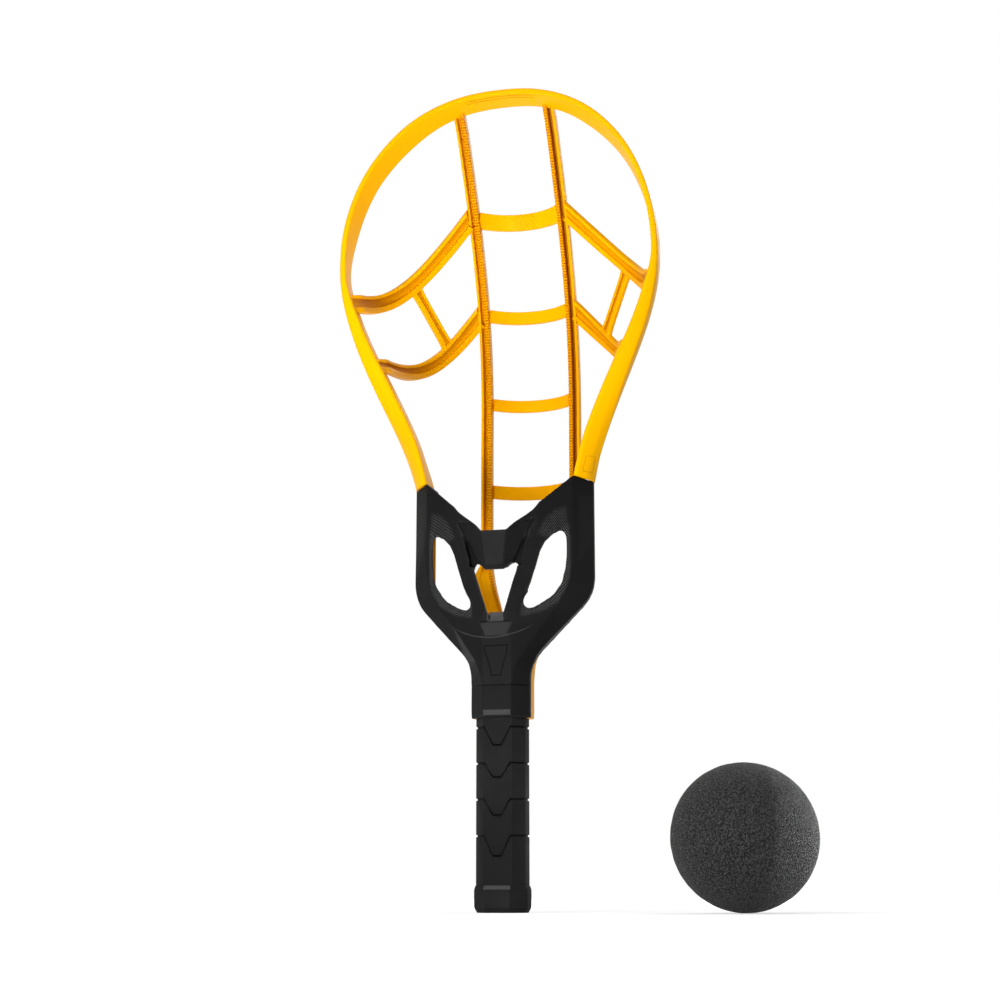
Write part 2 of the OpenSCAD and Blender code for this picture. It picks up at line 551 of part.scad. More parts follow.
// the nose's sides fall away from its middle facet to a groove beside each strut
nose_fall = 2.6;
nose_side = [[13.4, 27.5, 0.5], [25, 26, 1], [12.6, 52.4, 1], [6, 58.2, 0], [8.7, 33, 0]];
module nose_flank() {
    outline = [for (p = nose_side) [p[0], shoulder_z - p[1]]];
    floor = [for (i = [0:len(outline) - 1]) let (q = outline[i])
        [q[0], front_at(q[0], q[1]) + nose_fall * nose_side[i][2] - 0.01, q[1]]];
    loft([[for (p = floor) p - [0, 12, 0]], floor]);
}
groove_sink = nose_fall + 1.2;
nose_groove = [for (p = [[27.6, 23.4], [24.2, 25.4], [12.4, 51.4], [11.6, 56], [17, 56], [16.9, 52], [22, 33]])
    drop(p)];
smile_course = [[7, 100.3], [14, 98.8], [21.5, 96.1], [27.5, 93.8]];
smile_w = 0.9;
smile = let (upper = [for (p = smile_course) drop(p)],
             lower = [for (i = [3:-1:0]) drop(smile_course[i] + [0, i == 3 ? 0.5 : smile_w])])
    concat(lower, mirrored(lower), mirrored(upper), upper);
smile_sink = 0.5;
badge_z = [143.6, 165.6];
badge_w = 13.6;
badge_line = 0.8;
badge_sink = 0.3;
module badge_shape(inset) {
    r = badge_w / 2 - inset;
    translate([0, badge_z[0] + badge_w / 2]) circle(r = r, $fn = 48);
    translate([0, badge_z[1] - badge_w / 2]) circle(r = r, $fn = 48);
    translate([-r, badge_z[0] + badge_w / 2]) square([2 * r, badge_z[1] - badge_z[0] - badge_w]);
}
// two facets lie back under the window, each cut to a slanted plane
module facet(outline, low, high) {
    intersection() {
        face_on(-far, arm_back) polygon(outline);
        profile([[low[0], low[1]], [high[0], high[1]], [-far, high[1]], [-far, low[1]]], far);
    }
}
module yoke_carving() {
    for (s = [0, 1]) mirror([s, 0, 0]) {
        eye_dish();
        nose_flank();
        difference() {
            face_on(-far, arm_back) polygon(nose_groove);
            behind_front(groove_sink);
        }
    }
    difference() {
        face_on(-far, arm_back) polygon(smile);
        behind_front(smile_sink);
    }
    difference() {
        face_on(-far, arm_back) difference() {
            badge_shape(0);
            badge_shape(badge_line);
        }
        behind_front(badge_sink);
    }
    low = shoulder_z - 100.9;
    mid = shoulder_z - 90.6;
    top = shoulder_z - 84;
    bend = shoulder_z - 93.5;
    facet([[-7.2, low], [7.2, low], [10.4, bend], [10.4, mid], [-10.4, mid], [-10.4, bend]],
        [front_at(0, low), low], [front_at(0, mid) + 1.6, mid]);
    facet([[-4.8, mid - 0.1], [4.8, mid - 0.1], [4.8, top], [-4.8, top]],
        [front_at(0, mid) + 1.5, mid - 0.1], [front_at(0, mid) + 6, top]);
}
module yoke_hollow() {
    // inside of the walls, all but the nose
    intersection() {
        difference() {
            face_on(-far, far) offset(delta = -shell_wall) yoke_outline();
            face_on(-far, far) polygon(nose_zone);
        }
        behind_front(1.2 * shell_wall);
    }
    // the struts beside the window are shallow
    intersection() {
        difference() {
            face_on(-far, far) polygon([[-26, leg_low_z + 1], [26, leg_low_z + 1], [tip[0] - 3.6, hip_z + 12],
                [tip[0] - 3.6, crown_z], [3.6 - tip[0], crown_z], [3.6 - tip[0], hip_z + 12]]);
            face_on(-far, far) polygon(nose_zone);
        }
        behind_front(strut_depth);
    }
    // the nose carries the deeper carving
    intersection() {
        face_on(-far, far) polygon(nose_zone);
        behind_front(nose_depth);
    }
}
module bosses() {
    for (p = body_screws)
        at_screw(p, -far) cylinder(r = boss_r, h = far + parting(p[1]), $fn = 40);
}
module leg_bosses() {
    for (s = [-1, 1])
        at_screw([s * leg_screw[0], leg_screw[1]], -far)
            cylinder(r = leg_boss_r, h = far + arm_back - part_gap, $fn = 40);
}
module pilots() {
    for (p = body_screws)
        at_screw(p, parting(p[1]) - thread_l) cylinder(r = screw_r, h = far, $fn = 32);
    for (s = [-1, 1])
        at_screw([s * leg_screw[0], leg_screw[1]], arm_back - thread_l)
            cylinder(r = screw_r, h = far, $fn = 32);
}
module front_yoke() {
    color(black) difference() {
        intersection() {
            face_on(-far, far) yoke_outline();
            behind_front(0);
            front_half();
        }
        difference() {
            union() {
                difference() {
                    yoke_hollow();
                    bosses();
                }
                for (s = [0, 1]) mirror([s, 0, 0]) leg_space();
            }
            leg_bosses();
        }
        yoke_carving();
        pilots();
    }
}

// ---- rear shell ----
// Back surface: [height, outer edge x, y, facet edge x, y]
rear_rows = [
    [collar_low_z, neck_x - 1, 8.3, face_x, collar_rear - 1],
    [collar_low_z + 4.3, neck_x, 9, face_x, collar_rear],
    [collar_top_z - 0.7, neck_x, 9, face_x, collar_rear],
    [collar_top_z - 0.4, neck_x, 8.4, face_x, collar_rear - 0.6],
    [collar_top_z + 0.4, neck_x, 8.4, face_x, collar_rear - 0.6],
    [collar_top_z + 0.7, neck_x, 9, face_x, collar_rear],
    [waist_z + 1, neck_x + 3, 9.4, face_x + 1, collar_rear + 0.8],
    [leg_low_z, neck_x + 27, parting(leg_low_z) + leg_plate_t, face_x + 6, collar_rear - 1]];
function rear_ring(r, y) = let (p = [r[3], r[4]], q = [r[1], r[2]], o = q + 0.15 * (q - p),
        half = [[o[0], -40], o, p])
    [for (s = concat(half, [for (i = [2:-1:0]) [-half[i][0], half[i][1]]])) [s[0], s[1] + y, r[0]]];
module before_rear(y) { loft([for (r = rear_rows) rear_ring(r, y)]); }
module rear_outline() {
    right = concat([[0, collar_low_z]], [for (i = [len(side_line) - 1:-1:0]) side_line[i]], [[0, shoulder_z]]);
    intersection() {
        union() {
            polygon(right);
            polygon(mirrored(right));
        }
        translate([-far, 0]) square([2 * far, leg_low_z]);
    }
}
cradle_half = foot_point(foot_end)[0] + rail_w / 2;
module cradle() {
    p = foot_point(foot_end);
    d = foot_dir(foot_end);
    f = forward(d);
    a = [p[1], p[2]] + 0.8 * f;
    b = [p[1], p[2]] - (rail_d + 0.8) * f;
    sunk = [for (q = [b, a]) q + d * (q[0] - collar_rear + 2.5) / -d[0]];
    profile([a, b, sunk[0], sunk[1]], cradle_half);
}
module rear_shell() {
    color(yellow) difference() {
        union() {
            difference() {
                intersection() {
                    face_on(-far, far) rear_outline();
                    before_rear(0);
                    rear_half();
                }
                difference() {
                    intersection() {
                        face_on(-far, far) offset(delta = -shell_wall) rear_outline();
                        before_rear(-shell_wall);
                    }
                    for (p = body_screws)
                        at_screw(p, -far) cylinder(r = screw_head_r + 1.6, h = 2 * far, $fn = 40);
                }
            }
            cradle();
        }
        for (p = body_screws) {
            at_screw(p, -far) cylinder(r = screw_r + screw_gap, h = 2 * far, $fn = 32);
            at_screw(p, parting(p[1]) + screw_seat) cylinder(r = screw_head_r + screw_gap, h = far, $fn = 32);
        }
    }
}

// ---- handle: tang, grip sleeve and end cap share one eight-sided section ----
grip_face = 18.6;       // width of the grip's front facet
grip_side = 9.3;        // width of its side facets
cap_face = 16.2;
sleeve_low_z = cap_h;
tang_low_z = 5;
tang_wall = 2.2;
// eight-sided outline of width w, depth d, front facet f and side facet s, all its walls moved in by i
function octagon(w, d, f, s, i) = let (
        a = w / 2 - i,
        b = d / 2 - i,
        n = unit([d - s, w - f]),
        c = n * [f / 2, d / 2] - i,
        x = (c - n[1] * b) / n[0],
        y = (c - n[0] * a) / n[1])
    [[x, -b], [a, -y], [a, y], [x, b], [-x, b], [-a, y], [-a, -y], [-x, -b]];
module grip_section(i) { polygon(octagon(grip_w, grip_d, grip_face, grip_side, i)); }

module handle_tang() {
    color(yellow) translate([0, 0, tang_low_z]) linear_extrude(collar_low_z - tang_low_z) difference() {
        grip_section(sleeve_wall);
        grip_section(sleeve_wall + tang_wall);
    }
}

ring_top_z = 114.6;
chevron_drops = [11.5, 9, 10, 12.5];
chevron_flat = 2.2;     // half width of a chevron's level point
// where the ring grooves run straight; on the front facet they dip into a chevron
module ring_groove(z) {
    difference() {
        translate([0, 0, z - groove_w / 2]) linear_extrude(groove_w) difference() {
            square([2 * grip_w, 2 * grip_w], center = true);
            grip_section(groove_depth);
        }
        translate([-grip_face / 2, -grip_d, z - groove_w])
            cube([grip_face, grip_d / 2 + groove_depth, 2 * groove_w]);
    }
}
module chevron(z, fall) {
    a = grip_face / 2;
    b = chevron_flat;
    g = groove_w / 2;
    face_on(-grip_d, groove_depth - grip_d / 2) polygon([[-a, z + g], [-a, z - g], [-b, z - fall - g],
        [b, z - fall - g], [a, z - g], [a, z + g], [b, z - fall + g], [-b, z - fall + g]]);
}
module grip_sleeve() {
    color(black) difference() {
        translate([0, 0, sleeve_low_z]) linear_extrude(collar_low_z - sleeve_low_z) difference() {
            grip_section(0);
            grip_section(sleeve_wall);
        }
        for (i = [0:3]) {
            ring_groove(ring_top_z - i * ring_pitch);
            chevron(ring_top_z - i * ring_pitch, chevron_drops[i]);
        }
    }
}

cap_rim = 2.7;          // height of the slope from the cap's side up to the grip
// one pair of opposite walls of the cap: half its width at the middle, and how far top and bottom step in
module cap_walls(a, top) {
    b = 1.8;
    rotate([90, 0, 0]) translate([0, 0, -far]) linear_extrude(2 * far)
        polygon([[b - a, 0], [a - b, 0], [a, cap_bevel], [a, cap_h - cap_rim], [a - top, cap_h],
                 [top - a, cap_h], [-a, cap_h - cap_rim], [-a, cap_bevel]]);
}
module end_cap() {
    w = cap_w / 2;
    d = (grip_d + cap_w - grip_w) / 2;
    swell = (cap_w - grip_w) / 2;
    n = unit([2 * d - grip_side, cap_w - cap_face]);
    turn = atan2(n[1], n[0]);
    color(black) difference() {
        intersection() {
            cap_walls(w, swell);
            rotate([0, 0, 90]) cap_walls(d, swell);
            rotate([0, 0, turn]) cap_walls(n * [cap_face / 2, d], 0.05);
            rotate([0, 0, -turn]) cap_walls(n * [cap_face / 2, d], 0.05);
        }
        translate([0, 0, tang_low_z]) linear_extrude(cap_h) grip_section(sleeve_wall);
    }
}

module screw(l) {
    cylinder(r = screw_head_r, h = screw_head_h, $fn = 40);
    translate([0, 0, -l]) cylinder(r = screw_r, h = l + 0.1, $fn = 32);
}
module shell_screws() {
    color(steel) {
        for (p = body_screws)
            at_screw(p, parting(p[1]) + screw_seat) screw(screw_seat + thread_l - 1);
        for (s = [-1, 1])
            at_screw([s * leg_screw[0], leg_screw[1]], arm_back + leg_plate_t)
                screw(leg_plate_t + thread_l - 1);
    }
}

// ---- ball ----
ball_y = -4;
module foam_ball() { color(charcoal) translate([ball_x, ball_y, ball_d / 2]) sphere(d = ball_d, $fn = 96); }

hoop_crown();
hoop_left();
hoop_right();
left_leg();
right_leg();
left_rail();
right_rail();
left_rail_foot();
right_rail_foot();
rung_1();
rung_2();
rung_3();
rung_4();
left_upper_arm();
right_upper_arm();
left_lower_arm();
right_lower_arm();
left_arm_link();
right_arm_link();
rear_shell();
handle_tang();
front_yoke();
shell_screws();
grip_sleeve();
end_cap();
foam_ball();
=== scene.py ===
"""Scoop catch racket with a toothed two-rail ball track, and its foam ball.

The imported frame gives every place. This script gives the mouldings their rounded edges, fine teeth
and finishes. Sizes in the classes are millimetres, and become metres when a mesh is made.
Z runs up the handle, X across the racket, and -Y is the open front where the ball goes in.
"""
import logging
import math
from dataclasses import dataclass, field
from enum import Enum
from typing import Any, Optional, Sequence, Union

import bmesh
import bpy
import numpy as np
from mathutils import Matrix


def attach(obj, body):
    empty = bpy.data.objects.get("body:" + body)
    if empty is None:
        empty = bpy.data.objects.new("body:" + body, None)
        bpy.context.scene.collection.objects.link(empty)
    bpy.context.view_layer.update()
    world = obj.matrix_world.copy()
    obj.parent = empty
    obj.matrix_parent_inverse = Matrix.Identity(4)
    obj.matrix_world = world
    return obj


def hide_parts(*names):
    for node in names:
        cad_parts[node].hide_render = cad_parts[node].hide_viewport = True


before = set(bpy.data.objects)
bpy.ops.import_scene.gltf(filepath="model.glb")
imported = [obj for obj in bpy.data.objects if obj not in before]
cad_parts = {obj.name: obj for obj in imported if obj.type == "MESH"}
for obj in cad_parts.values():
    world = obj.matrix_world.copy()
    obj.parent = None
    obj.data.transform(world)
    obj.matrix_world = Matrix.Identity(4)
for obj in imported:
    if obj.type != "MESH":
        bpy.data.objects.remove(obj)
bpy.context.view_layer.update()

MM = 0.001
JOIN_REACH = 2e-6  # metres within which the loose corners of a CAD node are one point
FLAT_DEG = 0.7  # degrees up to which neighbouring triangles are one face
EDGE_DEG = 5  # degrees from which two faces meet in a real edge
Array = np.ndarray
Value = Union[float, Sequence[float], bpy.types.NodeSocket]
Colour = tuple[float, float, float, float]
Point = tuple[float, float, float]
Line = tuple[tuple[float, float], ...]
log = logging.getLogger("racket")


class Body(Enum):
    """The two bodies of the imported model."""

    RACKET = "racket"
    BALL = "ball"


class Slot(Enum):
    """The record's material slots."""

    YELLOW = "frame_yellow"
    YOKE = "yoke_black"
    GRIP = "grip_black"
    STEEL = "screw_steel"
    FOAM = "ball_foam"


class Side(Enum):
    """Left or right half of the racket, as the sign of X."""

    LEFT = -1
    RIGHT = 1


# ---------------------------------------------------------------- curves


def lerp(a: Any, b: Any, t: Any) -> Any:
    """Value at share t of the way from a to b."""
    return a + (b - a) * t


def unit(v: Array) -> Array:
    """Vectors scaled to length 1 along their last axis."""
    return v / np.maximum(np.linalg.norm(v, axis=-1, keepdims=True), 1e-12)


def smooth_step(low: float, high: float, x: Array) -> Array:
    """3t^2 - 2t^3, where t runs from 0 at low to 1 at high and is held outside them."""
    t = np.clip((x - low) / (high - low), 0, 1)
    return t * t * (3 - 2 * t)


def bezier(points: Sequence[Sequence[float]], t: Array) -> Array:
    """Cubic curve: the four points weighted with (1-t)^3, 3(1-t)^2 t, 3(1-t) t^2 and t^3.

    Args:
        points: Four control points.
        t: Places along the curve, shape (m,).

    Returns:
        Points of shape (m, dimensions).
    """
    p = np.asarray(points, float)
    t = np.asarray(t, float)[:, None]
    s = 1 - t
    return s**3 * p[0] + 3 * s * s * t * p[1] + 3 * s * t * t * p[2] + t**3 * p[3]


def through(rows: Sequence[Sequence[float]], k: Array) -> Array:
    """Smooth curve through rows of [key, value], level at both ends.

    Between two rows it is the cubic that has their values and slopes, and a row's slope is that of
    the line between its neighbours.

    Args:
        rows: Keys in rising order, each with its value.
        k: Keys at which the value is wanted.

    Returns:
        One value for each key.
    """
    table = np.asarray(rows, float)
    x, v = table[:, 0], table[:, 1]
    slope = np.zeros_like(v)
    slope[1:-1] = (v[2:] - v[:-2]) / (x[2:] - x[:-2])
    i = np.clip(np.searchsorted(x, k, side="right") - 1, 0, len(x) - 2)
    span = x[i + 1] - x[i]
    t = np.clip((k - x[i]) / span, 0, 1)
    return ((2 * t**3 - 3 * t**2 + 1) * v[i] + (t**3 - 2 * t**2 + t) * span * slope[i]
            + (3 * t**2 - 2 * t**3) * v[i + 1] + (t**3 - t**2) * span * slope[i + 1])


def resample(points: Array, marks: Array) -> tuple[Array, Array]:
    """Places and courses at given lengths along a dense line of points.

    Args:
        points: The line, shape (m, 3).
        marks: Lengths from its start.

    Returns:
        Points and unit directions, each of shape (len(marks), 3).
    """
    steps = np.linalg.norm(np.diff(points, axis=0), axis=1)
    at = np.concatenate([[0], np.cumsum(steps)])
    course = np.gradient(points, at, axis=0)
    pick = lambda values: np.stack([np.interp(marks, at, values[:, i]) for i in range(3)], 1)
    return pick(points), unit(pick(course))


def rounded(outlines: Array, radii: Union[float, Sequence[float]], segments: int = 2) -> Array:
    """Rounds every corner of closed outlines.

    A corner P gives way to the curve (1-t)^2 A + 2t(1-t) P + t^2 B, where A and B lie on its two
    legs, a radius away from P or at 0.45 of a shorter leg.

    Args:
        outlines: Corners, shape (m, corners, dimensions).
        radii: One radius, or one for each corner.
        segments: Pieces in each round.

    Returns:
        Outlines of shape (m, corners * (segments + 1), dimensions).
    """
    m, n, d = outlines.shape
    reach = np.broadcast_to(np.asarray(radii, float), (n,))[None, :, None]
    back, ahead = np.roll(outlines, 1, 1) - outlines, np.roll(outlines, -1, 1) - outlines
    length = [np.linalg.norm(leg, axis=2, keepdims=True) for leg in (back, ahead)]
    a = outlines + unit(back) * np.minimum(reach, 0.45 * length[0])
    b = outlines + unit(ahead) * np.minimum(reach, 0.45 * length[1])
    t = np.linspace(0, 1, segments + 1)[None, None, :, None]
    corner = outlines[:, :, None]
    curve = (1 - t) ** 2 * a[:, :, None] + 2 * t * (1 - t) * corner + t * t * b[:, :, None]
    return curve.reshape(m, n * (segments + 1), d)


# ---------------------------------------------------------------- meshes


def finish_mesh(mesh: bpy.types.Mesh, sharp_deg: float) -> None:
    """Smooth shading, broken at edges sharper than an angle."""
    mesh.polygons.foreach_set("use_smooth", np.ones(len(mesh.polygons), bool))
    mesh.set_sharp_from_angle(angle=math.radians(sharp_deg))
    mesh.update()


def make_object(name: str, data: Any) -> bpy.types.Object:
    """An object for a mesh, a lamp or a camera, at the origin, unturned and unscaled."""
    made = bpy.data.objects.new(name, data)
    bpy.context.scene.collection.objects.link(made)
    return made


def face_outward(mesh: bpy.types.Mesh, join: float = 0.0) -> None:
    """Joins a mesh's points that lie within a distance in metres and turns its faces outward."""
    form = bmesh.new()
    form.from_mesh(mesh)
    if join:
        bmesh.ops.remove_doubles(form, verts=form.verts, dist=join)
    bmesh.ops.recalc_face_normals(form, faces=form.faces)
    form.to_mesh(mesh)
    form.free()


def skin(name: str, parts: Sequence[Array], sharp_deg: float = 50,
         marks: Optional[Sequence[Array]] = None) -> bpy.types.Object:
    """Closed skins over stacks of rings, as one object.

    Point j of ring i joins point j + 1 of the same ring and the two points of ring i + 1, and the
    first and last ring of each stack are closed with one face.

    Args:
        name: The piece's name.
        parts: Stacks of rings in mm, each of shape (rings, points, 3).
        sharp_deg: Angle from which an edge stays sharp.
        marks: How deep in a groove each point lies, from 0 to 1, shape (rings, points) a stack; the
            yellow finish darkens by it as painted shade.

    Returns:
        The new object, with its faces outward.
    """
    places, quads, caps, first = [], [], [], 0
    for rings in parts:
        m, n, _ = rings.shape
        i, j = np.meshgrid(np.arange(m - 1), np.arange(n), indexing="ij")
        a, b = first + i * n + j, first + i * n + (j + 1) % n
        quads.append(np.stack([a, b, b + n, a + n], -1).reshape(-1, 4))
        last = first + (m - 1) * n
        caps += [list(range(first + n - 1, first - 1, -1)), list(range(last, last + n))]
        places.append(rings.reshape(-1, 3) * MM)
        first += m * n
    mesh = bpy.data.meshes.new(name)
    mesh.from_pydata(np.concatenate(places), [], np.concatenate(quads).tolist() + caps)
    face_outward(mesh)
    if marks is not None:
        write_marks(mesh, "groove", np.concatenate([m.ravel() for m in marks]))
    finish_mesh(mesh, sharp_deg)
    return make_object(name, mesh)


def weigh_edges(form: bmesh.types.BMesh, edge_deg: float, shortest: float = 0.8,
                narrow_deg: float = 24) -> None:
    """Marks the edges that can take a round without a spike.

    Such an edge is sharp and not too short, and no other real edge leaves either of its ends at a
    narrow angle to it.

    Args:
        form: The mesh.
        edge_deg: Angle between faces from which an edge counts as sharp.
        shortest: Least length in mm.
        narrow_deg: Least angle to a neighbouring edge.
    """
    layer = form.edges.layers.float.new("bevel_weight_edge")
    real = {e: len(e.link_faces) == 2 and e.calc_face_angle(0) > math.radians(EDGE_DEG)
            for e in form.edges}
    narrow = math.cos(math.radians(narrow_deg))

    def clear(e: bmesh.types.BMEdge, v: bmesh.types.BMVert) -> bool:
        """Whether the neighbours at one end leave room."""
        course = (e.other_vert(v).co - v.co).normalized()
        return all((o.other_vert(v).co - v.co).normalized().dot(course) < narrow
                   for o in v.link_edges if o is not e and real[o])

    for e in form.edges:
        sharp = real[e] and e.calc_face_angle(0) > math.radians(edge_deg)
        sharp = sharp and e.calc_length() > shortest * MM
        e[layer] = 1.0 if sharp and all(clear(e, v) for v in e.verts) else 0.0


def joined_form(node: str) -> bmesh.types.BMesh:
    """A copy of a CAD node's triangles, joined at their corners."""
    form = bmesh.new()
    form.from_mesh(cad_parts[node].data)
    bmesh.ops.remove_doubles(form, verts=form.verts, dist=JOIN_REACH)
    return form


def working_copy(form: bmesh.types.BMesh, name: str) -> bpy.types.Object:
    """An object for a form, to carry a modifier for a while."""
    mesh = bpy.data.meshes.new(name + "_plain")
    form.to_mesh(mesh)
    form.free()
    return make_object(name + "_plain", mesh)


def worked_mesh(plain: bpy.types.Object, name: str) -> bpy.types.Mesh:
    """The mesh that a working copy's modifier makes. The copy is removed."""
    done = bpy.data.meshes.new_from_object(plain.evaluated_get(bpy.context.evaluated_depsgraph_get()))
    done.name = name
    mesh = plain.data
    bpy.data.objects.remove(plain)
    bpy.data.meshes.remove(mesh)
    return done


def refined(node: str, name: str, bevel: float, edge_deg: float = 28, segments: int = 2,
            sharp_deg: float = 32) -> bpy.types.Object:
    """A copy of a CAD node with its triangles merged into faces and its edges rounded.

    The rounds carry a face attribute, which the grip's finish turns into a painted highlight along the
    edges.

    Args:
        node: The CAD node.
        name: The new piece's name.
        bevel: Width of the round along the edges, in mm.
        edge_deg: Angle from which an edge is rounded.
        segments: Pieces in each round.
        sharp_deg: Angle from which an edge stays sharp in the shading.

    Returns:
        The new object.
    """
    form = joined_form(node)
    bmesh.ops.dissolve_limit(form, angle_limit=math.radians(FLAT_DEG), verts=form.verts,
                             edges=form.edges)
    weigh_edges(form, edge_deg)
    plain = working_copy(form, name)
    plain.data.materials.append(None)
    plain.data.materials.append(None)
    edges = plain.modifiers.new("edges", "BEVEL")
    edges.width = bevel * MM
    edges.segments = segments
    edges.limit_method = "WEIGHT"
    edges.use_clamp_overlap = False
    edges.loop_slide = True
    edges.material = 1
    done = worked_mesh(plain, name)
    slots = np.zeros(len(done.polygons), np.int32)
    done.polygons.foreach_get("material_index", slots)
    write_marks(done, "edge_highlight", slots, "FACE")
    done.polygons.foreach_set("material_index", np.zeros(len(done.polygons), np.int32))
    finish_mesh(done, sharp_deg)
    return make_object(name, done)


def neighbour_mean(values: Array, edges: Array) -> Array:
    """Mean of the values at each point's neighbours, summed over the edges.

    Args:
        values: Values of shape (points, columns).
        edges: Point numbers of shape (edges, 2).

    Returns:
        Means of the shape of the values.
    """
    n, (a, b) = len(values), edges.T
    count = np.maximum(np.bincount(edges.ravel(), minlength=n), 1)
    sums = [np.bincount(a, column[b], n) + np.bincount(b, column[a], n) for column in values.T]
    return np.stack(sums, 1) / count[:, None]


def read_points(mesh: bpy.types.Mesh) -> tuple[Array, Array, Array]:
    """Places, normals and edges of a mesh as arrays."""
    places, normals = np.empty(len(mesh.vertices) * 3), np.empty(len(mesh.vertices) * 3)
    edges = np.empty(len(mesh.edges) * 2, np.int32)
    mesh.vertices.foreach_get("co", places)
    mesh.vertices.foreach_get("normal", normals)
    mesh.edges.foreach_get("vertices", edges)
    return places.reshape(-1, 3), normals.reshape(-1, 3), edges.reshape(-1, 2)


def write_places(mesh: bpy.types.Mesh, places: Array) -> None:
    """Moves a mesh's points to new places."""
    mesh.vertices.foreach_set("co", places.ravel())
    mesh.update()


def write_marks(mesh: bpy.types.Mesh, name: str, values: Array, domain: str = "POINT") -> None:
    """Stores one number a point, or a face, under a name."""
    mesh.attributes.new(name, "FLOAT", domain).data.foreach_set("value", values.astype(np.float32))


def mark_edge_highlight_and_crevice_shade(mesh: bpy.types.Mesh, voxel: float) -> None:
    """Writes two point attributes, for a painted highlight on convex edges and painted shade in
    hollows.

    They say how far a dense skin's points stand out from their neighbours' mean or lie behind it,
    as a share of the points' spacing, averaged once with the neighbours'.

    Args:
        mesh: The dense skin.
        voxel: Spacing of its points in mm.
    """
    places, normals, edges = read_points(mesh)
    bend = ((places - neighbour_mean(places, edges)) * normals).sum(1) / (voxel * MM)
    bend = neighbour_mean(bend[:, None], edges)[:, 0]
    write_marks(mesh, "edge_highlight", smooth_step(0.02, 0.12, bend))
    write_marks(mesh, "crevice_shade", smooth_step(0.03, 0.14, -bend))


def remoulded(node: str, name: str, voxel: float, passes: int,
              swell: float = 0.28) -> bpy.types.Object:
    """A copy of a CAD node as one dense skin, whose edges are soft as a moulding's are.

    The copy is swollen a little before it is resampled and shrunk as much afterwards, so that its
    thin rims come through whole. In each pass a point moves half way to the mean of its neighbours
    and then a little more than half way back, which softens edges and keeps the size.

    Args:
        node: The CAD node.
        name: The new piece's name.
        voxel: Spacing of the skin's points in mm.
        passes: Number of smoothing passes.
        swell: How far the copy is swollen, in mm.

    Returns:
        The new object.
    """
    plain = working_copy(joined_form(node), name)
    places, normals, _ = read_points(plain.data)
    write_places(plain.data, places + swell * MM * normals)
    dense = plain.modifiers.new("dense", "REMESH")
    dense.mode, dense.voxel_size, dense.adaptivity = "VOXEL", voxel * MM, 0
    done = worked_mesh(plain, name)
    places, _, edges = read_points(done)
    for _ in range(passes):
        for share in (0.5, -0.52):
            places = places + share * (neighbour_mean(places, edges) - places)
    write_places(done, places)
    places, normals, _ = read_points(done)
    write_places(done, places - swell * MM * normals)
    mark_edge_highlight_and_crevice_shade(done, voxel)
    finish_mesh(done, 180)
    return make_object(name, done)


def settle(piece: bpy.types.Object, body: Body, slot: Slot, material: bpy.types.Material,
           *nodes: str) -> bpy.types.Object:
    """Gives a piece its material, its body and the nodes that it stands for.

    Args:
        piece: The new piece.
        body: The body that it moves with.
        slot: The record's slot of its finish; not used.
        material: Its material.
        nodes: CAD nodes that it replaces.

    Returns:
        The piece.
    """
    piece.data.materials.clear()
    piece.data.materials.append(material)
    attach(piece, body.value)
    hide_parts(*nodes)
    log.info("%s: %d faces, stands for %s", piece.name, len(piece.data.polygons), ", ".join(nodes))
    return piece


# ---------------------------------------------------------------- material wiring


